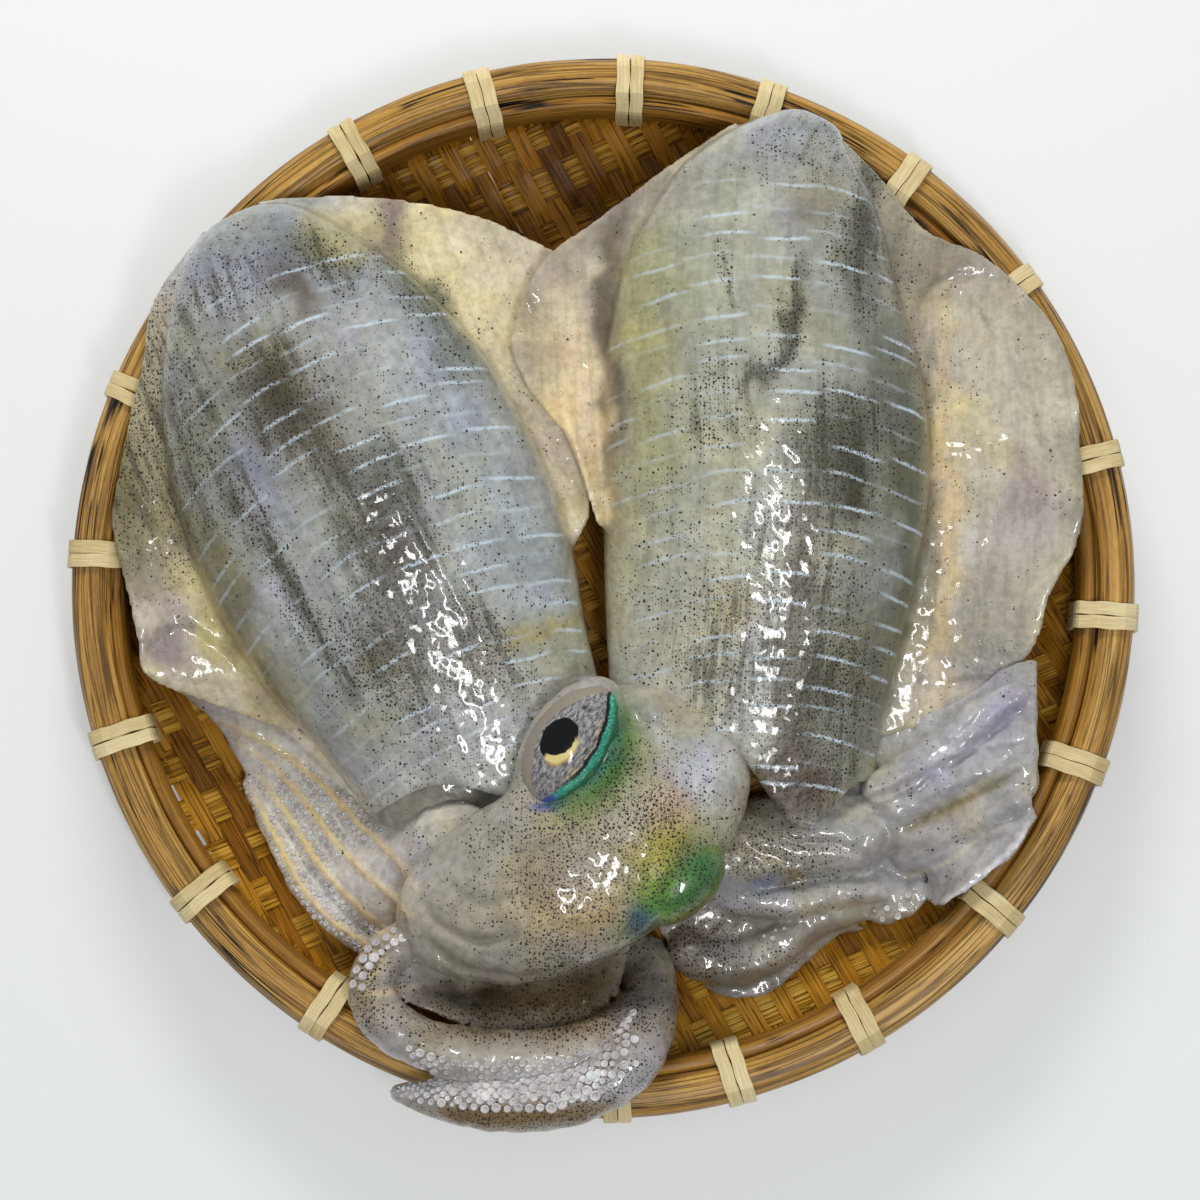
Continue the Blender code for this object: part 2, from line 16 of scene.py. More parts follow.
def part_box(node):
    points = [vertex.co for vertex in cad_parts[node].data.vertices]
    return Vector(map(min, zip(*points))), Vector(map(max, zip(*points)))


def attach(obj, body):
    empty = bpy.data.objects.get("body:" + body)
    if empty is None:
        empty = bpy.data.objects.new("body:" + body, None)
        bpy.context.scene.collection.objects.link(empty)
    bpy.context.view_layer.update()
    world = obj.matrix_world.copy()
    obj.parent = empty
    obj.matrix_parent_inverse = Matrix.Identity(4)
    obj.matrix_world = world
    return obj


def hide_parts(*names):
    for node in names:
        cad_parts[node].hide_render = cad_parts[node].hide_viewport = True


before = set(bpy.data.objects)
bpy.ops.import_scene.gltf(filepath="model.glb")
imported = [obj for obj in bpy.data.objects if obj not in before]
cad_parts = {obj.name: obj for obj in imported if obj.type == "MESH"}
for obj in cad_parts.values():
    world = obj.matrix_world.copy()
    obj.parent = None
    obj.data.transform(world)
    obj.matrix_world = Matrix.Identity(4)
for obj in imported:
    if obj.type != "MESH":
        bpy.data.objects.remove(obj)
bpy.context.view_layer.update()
MM = 0.001

# %% [markdown]
# The camera looks almost straight down, leaning a little towards the near rim, with a long lens so that
# the round tray stays round. The floor is a plain pale sheet. The key light stands beyond the far rim:
# it leaves the inner face of that rim in shade and lights the near one. A broad soft light hangs over
# the tray, and two narrow ones draw the bright streaks along wet skin.

# %% Camera, floor and lights
RIM_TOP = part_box("tray_hoop_outer")[1].z
VIEW_CENTRE = Vector((-0.0009, -0.0055, RIM_TOP))
VIEW_WIDTH = 0.3360  # across the rim's own level
CAMERA_LENS = 85.0
CAMERA_SENSOR = 36.0
CAMERA_ELEVATION = 86.0

scene = bpy.context.scene
scene.view_settings.view_transform = "Standard"
camera = bpy.data.objects.new("camera", bpy.data.cameras.new("camera"))
camera.data.lens = CAMERA_LENS
camera.data.sensor_width = CAMERA_SENSOR
lean = math.radians(90 - CAMERA_ELEVATION)
distance = VIEW_WIDTH * CAMERA_LENS / CAMERA_SENSOR
camera.location = VIEW_CENTRE + Vector((0, -math.sin(lean), math.cos(lean))) * distance
camera.rotation_euler = (lean, 0, 0)
scene.collection.objects.link(camera)
scene.camera = camera


def paint(code):
    """A web colour code as the linear red, green, blue and alpha that a shader wants."""
    channels = [int(code[i : i + 2], 16) / 255 for i in (1, 3, 5)]
    linear = [c / 12.92 if c <= 0.04045 else ((c + 0.055) / 1.055) ** 2.4 for c in channels]
    return (*linear, 1.0)


def lamp(name, place, aim, size, power, colour="#FFFFFF", mirrored=False):
    """A rectangular soft light at a place, aimed at a point. Only a mirrored one shows in wet skin."""
    light = bpy.data.lights.new(name, "AREA")
    light.shape = "RECTANGLE"
    light.size, light.size_y = size
    light.energy = power
    light.color = paint(colour)[:3]
    obj = bpy.data.objects.new(name, light)
    obj.location = place
    obj.visible_glossy = mirrored
    obj.rotation_euler = (Vector(aim) - Vector(place)).to_track_quat("-Z", "Y").to_euler()
    scene.collection.objects.link(obj)


lamp("key_light", (-0.12, 0.85, 0.55), (0, 0, 0.03), (0.45, 0.25), 6.6, "#FFFCF6")
lamp("overhead_light", (0, -0.15, 1.2), (0, 0, 0.03), (1.2, 0.8), 2.7)
lamp("streak_light_left", (0.12, -0.24, 0.8), (-0.03, 0, 0.05), (0.05, 0.2), 0.9, mirrored=True)
lamp("streak_light_right", (0.16, -0.34, 0.8), (0.05, 0, 0.05), (0.09, 0.16), 0.9, mirrored=True)

world = bpy.data.worlds.new("studio")
world.use_nodes = True
world.node_tree.nodes["Background"].inputs["Color"].default_value = paint("#F2F4F5")
world.node_tree.nodes["Background"].inputs["Strength"].default_value = 0.3
scene.world = world

bm = bmesh.new()
bmesh.ops.create_grid(bm, x_segments=1, y_segments=1, size=3)
floor_mesh = bpy.data.meshes.new("floor")
bm.to_mesh(floor_mesh)
bm.free()
floor = bpy.data.objects.new("floor", floor_mesh)
floor_material = bpy.data.materials.new("pale_floor")
floor_material.use_nodes = True
floor_shader = floor_material.node_tree.nodes["Principled BSDF"]
floor_shader.inputs["Base Color"].default_value = paint("#CFD2D3")
floor_shader.inputs["Emission Color"].default_value = paint("#F0F3F4")
floor_shader.inputs["Emission Strength"].default_value = 0.28
floor_shader.inputs["Roughness"].default_value = 0.9
floor_mesh.materials.append(floor_material)
scene.collection.objects.link(floor)
print("camera at", [round(v, 3) for v in camera.location], "lights:", len(bpy.data.lights))

# %% [markdown]
# Every finish below is a small network of nodes over Blender's Principled shader. Four helpers keep
# those networks short: one adds a node and wires it, one runs a value through a colour ramp, one lays a
# colour over another, and one turns a value into bump.

# %% Helpers for finishes


def start_finish(name, roughness, **sockets):
    """A new material with its shader's plain settings. Returns it, its node tree and its shader."""
    material = bpy.data.materials.new(name)
    material.use_nodes = True
    shader = material.node_tree.nodes["Principled BSDF"]
    shader.inputs["Roughness"].default_value = roughness
    for socket, value in sockets.items():
        shader.inputs[socket.replace("_", " ")].default_value = value
    return material, material.node_tree, shader


def add(tree, kind, inputs=(), **settings):
    """Add a node, set its options, and fill in or wire up its inputs."""
    node = tree.nodes.new("ShaderNode" + kind)
    for key, value in settings.items():
        setattr(node, key, value)
    for key, value in dict(inputs).items():
        if isinstance(value, bpy.types.NodeSocket):
            tree.links.new(value, node.inputs[key])
        else:
            node.inputs[key].default_value = value
    return node


def ramp(tree, factor, *stops):
    """A value run through colour stops, each a place from 0 to 1 and a web colour code."""
    node = add(tree, "ValToRGB", {"Fac": factor})
    elements = node.color_ramp.elements
    elements[1].position, elements[1].color = stops[-1][0], paint(stops[-1][1])
    elements[0].position, elements[0].color = stops[0][0], paint(stops[0][1])
    for place, code in stops[1:-1]:
        elements.new(place).color = paint(code)
    return node.outputs["Color"]


def over(tree, factor, under, top, kind="MIX"):
    """One colour laid over another by a factor. Either may be a web colour code."""
    under, top = (paint(c) if isinstance(c, str) else c for c in (under, top))
    node = add(tree, "Mix", data_type="RGBA", blend_type=kind)
    for index, value in ((0, factor), (6, under), (7, top)):
        if isinstance(value, bpy.types.NodeSocket):
            tree.links.new(value, node.inputs[index])
        else:
            node.inputs[index].default_value = value
    return node.outputs[2]


def sums(tree, operation, *values, clamp=False):
    """One step of arithmetic between values."""
    return add(tree, "Math", dict(enumerate(values)), operation=operation, use_clamp=clamp).outputs[0]


def fade(tree, value, start, end, low=0.0, high=1.0):
    """A value taken smoothly from low to high as it runs from start to end."""
    inputs = {"Value": value, "From Min": start, "From Max": end, "To Min": low, "To Max": high}
    return add(tree, "MapRange", inputs, interpolation_type="SMOOTHSTEP").outputs[0]


def clouds(tree, place, scale, detail=3.0, rough=0.5, stretch=(1, 1, 1), turn=(0, 0, 0)):
    """Soft noise, from 0 to 1, that may be stretched and turned."""
    mapped = add(tree, "Mapping", {"Vector": place, "Rotation": turn, "Scale": stretch})
    inputs = {"Vector": mapped.outputs[0], "Scale": scale, "Detail": detail, "Roughness": rough}
    return add(tree, "TexNoise", inputs).outputs[0]


def bump(tree, shader, height, strength, depth, socket="Normal"):
    """Raise the finish's surface, or the coat over it, by a height value. Depth is in metres."""
    node = add(tree, "Bump", {"Height": height, "Strength": strength, "Distance": depth})
    tree.links.new(node.outputs[0], shader.inputs[socket])


# %% [markdown]
# Every new piece goes through the same last steps: its mesh is named and shaded and given its material,
# its object is put at the origin, it rides on the tray's only body, and the measured nodes that it stands
# for are hidden. One function does that, so that no step is forgotten.

# %% Finish a piece


def place_piece(mesh, name, nodes, material, smooth=True):
    """Make a mesh into a piece of the model that stands for measured nodes."""
    mesh.name = name
    obj = bpy.data.objects.new(name, mesh)
    mesh.materials.clear()
    mesh.materials.append(material)
    mesh.polygons.foreach_set("use_smooth", [smooth] * len(mesh.polygons))
    scene.collection.objects.link(obj)
    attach(obj, "root")
    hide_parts(*nodes)
    mesh.calc_loop_triangles()
    print(name, len(mesh.loop_triangles), "triangles")
    return obj


def mesh_of(bm):
    """A mesh from a bmesh, with its faces turned outwards."""
    bmesh.ops.recalc_face_normals(bm, faces=bm.faces)
    mesh = bpy.data.meshes.new("mesh")
    bm.to_mesh(mesh)
    bm.free()
    return mesh


def solid_mesh(obj):
    """The object's mesh as its modifiers leave it. The object itself is removed."""
    depsgraph = bpy.context.evaluated_depsgraph_get()
    mesh = bpy.data.meshes.new_from_object(obj.evaluated_get(depsgraph))
    bpy.data.objects.remove(obj, do_unlink=True)
    return mesh


def with_modifiers(mesh, *modifiers):
    """The mesh after a list of modifiers, each a type and its settings."""
    obj = bpy.data.objects.new("in_the_making", mesh)
    scene.collection.objects.link(obj)
    for kind, settings in modifiers:
        modifier = obj.modifiers.new(kind.title(), kind)
        for key, value in settings.items():
            setattr(modifier, key, value)
    bpy.context.view_layer.update()
    return solid_mesh(obj)


# %% [markdown]
# The bowl of the tray is woven from wide bamboo strips one way and bands of thin splints the other. Each
# band goes over one wide strip and under the next, and its neighbour does the opposite, which leaves the
# little ladders of splints. A flat sheet with a printed weave would look right only from far off, so
# every strip is laid as its own ribbon that rises and falls over the others and follows the bowl. The
# ribbons then get their thickness from a Solidify modifier.

# %% Shape of the bowl
RIM_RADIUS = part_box("tray_hoop_outer")[1].x
HOOP_LOW, HOOP_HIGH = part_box("tray_hoop_inner")[0].z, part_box("tray_hoop_outer")[1].z
FLAT_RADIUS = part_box("tray_mat_floor")[1].x
BOWL_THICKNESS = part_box("tray_mat_floor")[1].z
FLANK_RADIUS, FLANK_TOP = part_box("tray_mat_flank")[1].x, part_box("tray_mat_flank")[1].z
WEAVE_REACH = FLANK_RADIUS + 2.0 * MM  # where the strips' ends lie, hidden between the hoops
WALL_FOOT_RADIUS = FLANK_RADIUS - 1.5 * MM
rng = np.random.default_rng(7)


def bowl_height(x, y):
    """How far the bowl has curved up from the table at a point."""
    radius = math.hypot(x, y)
    share = max(0.0, (radius - FLAT_RADIUS) / (FLANK_RADIUS - FLAT_RADIUS))
    wall = 4 * min(max(0.0, radius - WALL_FOOT_RADIUS), 2.5 * MM)
    return (FLANK_TOP - BOWL_THICKNESS) * min(share, 1.0) ** 2 + wall


# %% Weave the strips
STRIP_PITCH = 4.9 * MM
STRIP_WIDTH = 5.2 * MM
STRIP_THICKNESS = 0.6 * MM
SPLINT_PITCH = 1.18 * MM
SPLINT_WIDTH = 1.14 * MM
SPLINT_THICKNESS = 0.5 * MM
BAND_SPLINTS = 8
BAND_PITCH = 14.4 * MM
STRIP_TURN = math.radians(-60)
SPLINT_TURN = math.radians(23)
WEAVE_RISE = 0.5 * MM


def wave(share, bias):
    """A flat-topped wave that goes from 1 to -1 and back as its input goes up by 2."""
    return max(-1.0, min(1.0, 2.4 * math.cos(math.pi * share) + bias))


def heading(turn):
    """The direction of a turn in the ground plane, and the direction to its left."""
    return Vector((math.cos(turn), math.sin(turn), 0)), Vector((-math.sin(turn), math.cos(turn), 0))


def ribbon(bm, tone_layer, turn, cross_turn, offset, width, step, columns, rise):
    """Lay one ribbon across the bowl. Its points are spaced evenly across the ribbons that it crosses."""
    ahead, left = heading(turn)
    across = heading(cross_turn)[1]
    half = math.sqrt(WEAVE_REACH**2 - offset**2) * ahead.dot(across)
    middle = offset * left.dot(across)
    low, high = sorted((middle - half, middle + half))
    first, last = math.ceil(low / step - 0.5), math.floor(high / step - 0.5)
    if last - first < 2:
        return
    tone, phase = rng.random(), rng.random() * 9
    drift, tilt = rng.normal(0, 0.1 * MM), rng.normal(0, 0.04 * MM)
    made = bmesh.ops.create_grid(bm, x_segments=last - first, y_segments=columns, size=0.5)["verts"]
    for vertex in made:
        crossing = (first + round((vertex.co.x + 0.5) * (last - first)) + 0.5) * step
        along, side = (crossing - middle) / ahead.dot(across), vertex.co.y * 2
        bow = 0.1 * MM * math.sin(along * 40 + phase)
        point = ahead * along + left * (offset + drift + bow + side * width / 2)
        height = rise(crossing, offset) * WEAVE_RISE + tilt * side - 0.1 * MM * side * side
        vertex.co = (point.x, point.y, BOWL_THICKNESS / 2 + height + bowl_height(point.x, point.y))
        vertex[tone_layer] = tone


def strip_rise(crossing, offset):
    """A wide strip goes over one band and under the next. Its neighbours do the opposite."""
    return wave(crossing / BAND_PITCH + round(offset / STRIP_PITCH), 0.0)


def splint_rise(crossing, offset):
    """A splint goes under the strips that are over its band."""
    return -wave(crossing / STRIP_PITCH + round(offset / BAND_PITCH), 0.0)


def woven(name, turns, offsets, width, thickness, step, columns, rise, nodes, material):
    """All the ribbons that run one way."""
    bm = bmesh.new()
    tone_layer = bm.verts.layers.float.new("tone")
    for offset in offsets:
        ribbon(bm, tone_layer, *turns, offset, width * (1 + rng.normal(0, 0.03)), step, columns, rise)
    settings = {"thickness": thickness, "offset": 0.0}
    mesh = with_modifiers(mesh_of(bm), ("SOLIDIFY", settings))
    return place_piece(mesh, name, nodes, material, smooth=False)


def offsets_of(pitch, group=1, inner_pitch=0.0):
    """Evenly spaced offsets from one side of the bowl to the other, each for a group of ribbons."""
    count = int((WEAVE_REACH - 2 * MM) / pitch)
    within = [(number - (group - 1) / 2) * inner_pitch for number in range(group)]
    middles = [number * pitch for number in range(-count, count + 1)]
    return [middle + step for middle in middles for step in within if abs(middle + step) < WEAVE_REACH - MM]


def bamboo_strip_finish(name, turn, stops):
    """Varnished split bamboo: fine long grain, a tone of its own for every strip, and a soft gloss."""
    material, tree, shader = start_finish(name, 0.5, Coat_Weight=0.04, Coat_Roughness=0.2, Specular_IOR_Level=0.15)
    place = add(tree, "TexCoord").outputs["Object"]
    tone = add(tree, "Attribute", attribute_name="tone").outputs["Fac"]
    turned = add(tree, "Mapping", {"Vector": place, "Rotation": (0, 0, -turn)}, vector_type="POINT")
    # The grain is noise squeezed hard across the strip.
    grain = clouds(tree, turned.outputs[0], 1.0, 4, 0.6, stretch=(60, 2600, 60))
    level = sums(tree, "MULTIPLY_ADD", grain, 0.55, sums(tree, "MULTIPLY", tone, 0.25))
    level = sums(tree, "MULTIPLY_ADD", clouds(tree, place, 45, 2), 0.35, level)
    # Painted shade: the strips are darker towards the far rim, where the rim's shadow falls.
    level = sums(tree, "MULTIPLY_ADD", add(tree, "SeparateXYZ", {"Vector": place}).outputs["Y"], -0.5, level)
    coarse = sums(tree, "ABSOLUTE", sums(tree, "SUBTRACT", clouds(tree, turned.outputs[0], 1.0, 2, 0.5, stretch=(25, 900, 25)), 0.5))
    colour = over(tree, fade(tree, coarse, 0.0, 0.05, 0.75, 0.0), ramp(tree, level, *stops), "#2E1A04")
    tree.links.new(colour, shader.inputs["Base Color"])
    bump(tree, shader, grain, 0.6, 0.0003)
    return material


STRIP_STOPS = ((0.3, "#462808"), (0.5, "#8C5A14"), (0.68, "#B27C22"), (0.9, "#CE9A42"))
SPLINT_STOPS = ((0.3, "#523006"), (0.5, "#A37018"), (0.68, "#C69636"), (0.9, "#E2BC62"))
strip_finish = bamboo_strip_finish("varnished_bamboo_strip", STRIP_TURN, STRIP_STOPS)
splint_finish = bamboo_strip_finish("varnished_bamboo_splint", SPLINT_TURN, SPLINT_STOPS)
woven(
    "tray_strips", (STRIP_TURN, SPLINT_TURN), offsets_of(STRIP_PITCH), STRIP_WIDTH, STRIP_THICKNESS,
    BAND_PITCH / 8, 2, strip_rise, ["tray_mat_floor", "tray_mat_wall"], strip_finish,
)
woven(
    "tray_splints", (SPLINT_TURN, STRIP_TURN), offsets_of(BAND_PITCH, BAND_SPLINTS, SPLINT_PITCH),
    SPLINT_WIDTH, SPLINT_THICKNESS, STRIP_PITCH / 2, 1, splint_rise, ["tray_mat_flank"], splint_finish,
)

# %% [markdown]
# Two hoops of split bamboo hold the edge of the weave between them. A hoop could be a torus, but a real
# one is a bent slat with a worn, rounded section and long grooves where the fibres have parted. So its
# section is drawn as a rounded rectangle of many points, spun once round the tray, and then each point
# is pushed in by noise that is long round the hoop and short across it.

# %% Bend the hoops
HOOP_STEPS = 400


def hoop(name, inside, outside, low, high, squareness, groove, wear, points, material):
    """Spin a rounded section round the tray, and press grooves into it."""
    bm = bmesh.new()
    ring = bmesh.ops.create_circle(bm, segments=points, radius=1)["verts"]
    for vertex in ring:
        across, up = vertex.co.x, vertex.co.y
        size = (abs(across) ** squareness + abs(up) ** squareness) ** (-1 / squareness)
        radius = (inside + outside) / 2 + across * size * (outside - inside) / 2
        vertex.co = (radius, 0, (low + high) / 2 + up * size * (high - low) / 2)
    turn = {"cent": (0, 0, 0), "axis": (0, 0, 1), "angle": 2 * math.pi, "steps": HOOP_STEPS}
    bmesh.ops.spin(bm, geom=ring + list(bm.edges), dvec=(0, 0, 0), use_merge=True, **turn)
    bm.normal_update()
    moves = []
    for vertex in bm.verts:
        x, y, z = vertex.co
        radius = math.hypot(x, y)
        spot = Vector((x * 16, y * 16, 3.0))
        # Turning the grain with the section keeps each groove on its own line round the hoop.
        line = Vector(((radius - inside) * 420, z * 420, 0))
        dent = noise.noise(line + spot) + 0.5 * noise.noise(line * 2.1 + spot * 1.7)
        sway = noise.noise(spot * 0.6) * 0.35 * MM
        move = vertex.normal * (-groove * max(0.0, dent) ** 0.7 - 0.2 * MM + sway * 0.5)
        # The inner face of a hoop may be worn away on one side.
        worn = wear * max(0.0, -x / radius) * (1 - (radius - inside) / (outside - inside))
        moves.append(move + Vector((x, y, 0)) / radius * worn)
    for vertex, move in zip(bm.verts, moves):
        vertex.co += move
    return place_piece(mesh_of(bm), name, [name], material)


def hoop_finish(name, stops, crack, fine):
    """Bent bamboo: grain that follows the hoop, dark cracks, and a worn varnish."""
    material, tree, shader = start_finish(name, 0.45, Coat_Weight=0.2, Coat_Roughness=0.3)
    x, y, z = add(tree, "SeparateXYZ", {"Vector": add(tree, "TexCoord").outputs["Object"]}).outputs
    radius = sums(tree, "SQRT", sums(tree, "MULTIPLY_ADD", x, x, sums(tree, "MULTIPLY", y, y)))
    cosine, sine = sums(tree, "DIVIDE", x, radius), sums(tree, "DIVIDE", y, radius)

    def fibres(across, along, detail, rough):
        """Noise that is long round the hoop. Its fourth dimension lets it close on itself without a seam."""
        section = {"X": sums(tree, "MULTIPLY", radius, across), "Y": sums(tree, "MULTIPLY", z, across)}
        spot = add(tree, "CombineXYZ", {**section, "Z": sums(tree, "MULTIPLY", cosine, along)}).outputs[0]
        inputs = {"Vector": spot, "W": sums(tree, "MULTIPLY", sine, along), "Scale": 1.0}
        inputs.update({"Detail": detail, "Roughness": rough})
        return add(tree, "TexNoise", inputs, noise_dimensions="4D").outputs[0]

    grain = fibres(1900, 4.0, 5, 0.65)
    broad = fibres(420, 2.2, 3, 0.5)
    flecks = fibres(1100, 60.0, 2, 0.5)
    level = sums(tree, "MULTIPLY_ADD", grain, 0.5, sums(tree, "MULTIPLY", broad, 0.6))
    level = sums(tree, "MULTIPLY_ADD", flecks, 0.15, level)
    colour = ramp(tree, level, *stops)
    # A crack is where another long noise passes through its middle value. Finer ones lie between.
    near = sums(tree, "ABSOLUTE", sums(tree, "SUBTRACT", fibres(430, 1.6, 1, 0.4), 0.5))
    line = fade(tree, near, crack * 0.3, crack, 1.0, 0.0)
    line = sums(tree, "MULTIPLY", line, fade(tree, fibres(160, 5.0, 2, 0.5), 0.53, 0.62))
    near = sums(tree, "ABSOLUTE", sums(tree, "SUBTRACT", fibres(900, 2.6, 1, 0.4), 0.5))
    fine_line = fade(tree, near, 0.0, 0.07, fine, 0.0)
    colour = over(tree, fine_line, colour, "#3A2208")
    colour = over(tree, line, colour, "#1B0D02")
    tree.links.new(colour, shader.inputs["Base Color"])
    height = sums(tree, "SUBTRACT", level, sums(tree, "MULTIPLY_ADD", line, 1.5, sums(tree, "MULTIPLY", fine_line, 0.8)))
    bump(tree, shader, height, 0.8, 0.0004)
    return material


OUTER_STOPS = ((0.42, "#64421A"), (0.54, "#9C7230"), (0.64, "#B88C42"), (0.78, "#D4AC62"))
INNER_STOPS = ((0.42, "#5C3A0C"), (0.54, "#855818"), (0.64, "#9C6E24"), (0.78, "#B88A3C"))
HOOP_GAP_RADIUS = 139.2 * MM
outer_low, outer_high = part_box("tray_hoop_outer")
inner_low, inner_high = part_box("tray_hoop_inner")
inner_inside = 133.8 * MM
hoop(
    "tray_hoop_outer", HOOP_GAP_RADIUS - 0.9 * MM, outer_high.x, outer_low.z, outer_high.z, 2.9, 0.6 * MM, 0, 72,
    hoop_finish("bent_bamboo_outer", OUTER_STOPS, 0.05, 0.7),
)
hoop(
    "tray_hoop_inner", inner_inside, HOOP_GAP_RADIUS + 0.3 * MM, inner_low.z, inner_high.z, 2.6,
    0.2 * MM, 0.9 * MM, 48, hoop_finish("bent_bamboo_inner", INNER_STOPS, 0.03, 0.35),
)

# %% [markdown]
# The squid are soft, rounded and joined without seams, so their pieces are not lofted one by one and
# left touching. Each part is bent from a primitive along a short list of measured stations, the parts
# are put together, and a voxel remesh melts them into one skin, as a sculptor would. These helpers work
# on all of a mesh's points at once, in millimetres.

# %% Helpers for soft bodies
TIE_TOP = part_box("tray_tie_01")[1].z / MM
RIM_LIP = (127.0, 130.6)  # where something soft starts to lift over the lashed rim, and has lifted
CLEARANCE = 0.45


def smooth_rows(rows, at):
    """The values at each key, on smooth curves through rows whose first column is the key."""
    rows = np.asarray(rows, float)
    keys, values = rows[:, 0], rows[:, 1:]
    slopes = np.gradient(values, keys, axis=0)
    at = np.atleast_1d(at).astype(float)
    low = np.clip(np.searchsorted(keys, at) - 1, 0, len(keys) - 2)
    span = (keys[low + 1] - keys[low])[:, None]
    t = (at - keys[low])[:, None] / span
    start = (2 * t**3 - 3 * t**2 + 1) * values[low] + (t**3 - 2 * t**2 + t) * span * slopes[low]
    return start + (3 * t**2 - 2 * t**3) * values[low + 1] + (t**3 - t**2) * span * slopes[low + 1]


def numbered(rows):
    """The rows with their own number from 0 to 1 as the key."""
    return [(number / (len(rows) - 1), *row) for number, row in enumerate(rows)]


def eased(value, start, end):
    """A smooth step from 0 at start to 1 at end."""
    t = np.clip((value - start) / (end - start), 0, 1)
    return t * t * (3 - 2 * t)


def rest_on_tray(points, below=0.0):
    """The points, raised where they would sink into the bowl or the lashed rim."""
    radius = np.hypot(points[:, 0], points[:, 1])
    share = np.clip((radius - FLAT_RADIUS / MM) / ((FLANK_RADIUS - FLAT_RADIUS) / MM), 0, 1)
    floor = BOWL_THICKNESS / MM + CLEARANCE + (FLANK_TOP - BOWL_THICKNESS) / MM * share**2
    lowest = floor + (TIE_TOP + CLEARANCE - floor) * eased(radius, *RIM_LIP)
    points[:, 2] = np.maximum(points[:, 2], lowest + below)
    return points


def reshape(mesh, shaping):
    """Move all of a mesh's points by a function from an array of places to an array of places."""
    places = np.empty(len(mesh.vertices) * 3)
    mesh.vertices.foreach_get("co", places)
    places = shaping(places.reshape(-1, 3))
    mesh.vertices.foreach_set("co", np.ascontiguousarray(places).ravel())
    return mesh


def ball(sides, rings):
    """A ball mesh, to be bent into a closed shape."""
    bm = bmesh.new()
    bmesh.ops.create_uvsphere(bm, u_segments=sides, v_segments=rings, radius=1)
    return mesh_of(bm)


def rings_of(places, rings):
    """For points of a ball: the number of the ring that each is on, and its angle round the ball."""
    ring = np.round(np.arccos(np.clip(-places[:, 2], -1, 1)) / math.pi * rings)
    return ring, np.arctan2(places[:, 1], places[:, 0])


def melt(parts, voxel, rounds):
    """Melt closed meshes into one skin of even small faces, and smooth it."""
    bm = bmesh.new()
    for part in parts:
        bm.from_mesh(part)
    remesh = ("REMESH", {"mode": "VOXEL", "voxel_size": voxel * MM})
    return with_modifiers(mesh_of(bm), remesh, ("SMOOTH", {"factor": 0.5, "iterations": rounds}))


def places_of(mesh):
    """A mesh's points in millimetres."""
    places = np.empty(len(mesh.vertices) * 3)
    mesh.vertices.foreach_get("co", places)
    return places.reshape(-1, 3) / MM


def along_path(places, path, width):
    """How strongly a stroke of a width along a path of x and y covers each point. It fades at its ends."""
    keyed = numbered(np.asarray(path, float))
    fine = smooth_rows(keyed, np.linspace(0, 1, 12 * len(path)))
    nearest = np.full(len(places), 1e9)
    share = np.zeros(len(places))
    for number, (start, end) in enumerate(zip(fine, fine[1:])):
        step = end - start
        t = np.clip(((places[:, :2] - start[:2]) @ step[:2]) / (step[:2] @ step[:2]), 0, 1)
        gap = np.linalg.norm(places[:, :2] - start[:2] - t[:, None] * step[:2], axis=1)
        closer = gap < nearest
        nearest[closer] = gap[closer]
        share[closer] = (number + t[closer]) / (len(fine) - 1)
    return np.sin(math.pi * np.clip(share, 0, 1)) ** 0.5 * np.exp(-((nearest / width) ** 2))


def press(mesh, path, depth, width, floor=-1.0):
    """Press a crease along a path, into the points above a height. A negative depth raises a ridge."""
    places = places_of(mesh)
    places[:, 2] -= depth * along_path(places, path, width) * (places[:, 2] > floor)
    mesh.vertices.foreach_set("co", (places * MM).ravel())


def store(mesh, name, kind, values):
    """Keep a value for every point of a mesh, for its finish to read."""
    attribute = mesh.attributes.new(name, kind, "POINT")
    key = {"FLOAT": "value", "FLOAT_VECTOR": "vector", "FLOAT_COLOR": "color"}[kind]
    attribute.data.foreach_set(key, np.ascontiguousarray(values, dtype=np.float32).ravel())


def reach(u, v, mark):
    """How strongly a soft oval mark covers each point: 1 at its middle, and 0 well outside it."""
    middle_u, middle_v, half_u, half_v, turn = mark[:5]
    cos, sin = math.cos(math.radians(turn)), math.sin(math.radians(turn))
    along = (u - middle_u) * cos + (v - middle_v) * sin
    across = (v - middle_v) * cos - (u - middle_u) * sin
    return np.exp(-(((along / half_u) ** 2 + (across / half_v) ** 2) ** 1.3))


def tinted(base, u, v, marks):
    """Base colours with soft marks laid over them in turn. A mark ends in a strength and a colour."""
    colours = base.copy()
    for mark in marks:
        cover = (reach(u, v, mark) * mark[5])[:, None]
        colours = colours * (1 - cover) + np.array(paint(mark[6])) * cover
    return colours


def strayed(places, size, far):
    """Places moved about by soft noise, so that marks laid by them get uneven edges."""
    moves = [noise.turbulence_vector(Vector(place) / size, 3, False) for place in places]
    return places + np.array(moves) * far


def speckled(u, v, marks, least):
    """How thickly dots lie at each point. A mark ends in a strength."""
    density = np.full(len(u), least)
    for mark in marks:
        density = np.maximum(density, reach(u, v, mark) * mark[5])
    return density


# %% [markdown]
# A squid's body is a long cone of muscle, rounded at the tail and open at the front, with a pointed lobe
# at the back of the opening. It is a ball whose rings are carried from the tail to the rim and back
# inside the mouth. The stations give how far from the tail each section is, how far its middle has
# strayed, its half-width, and the heights of its underside and its back.

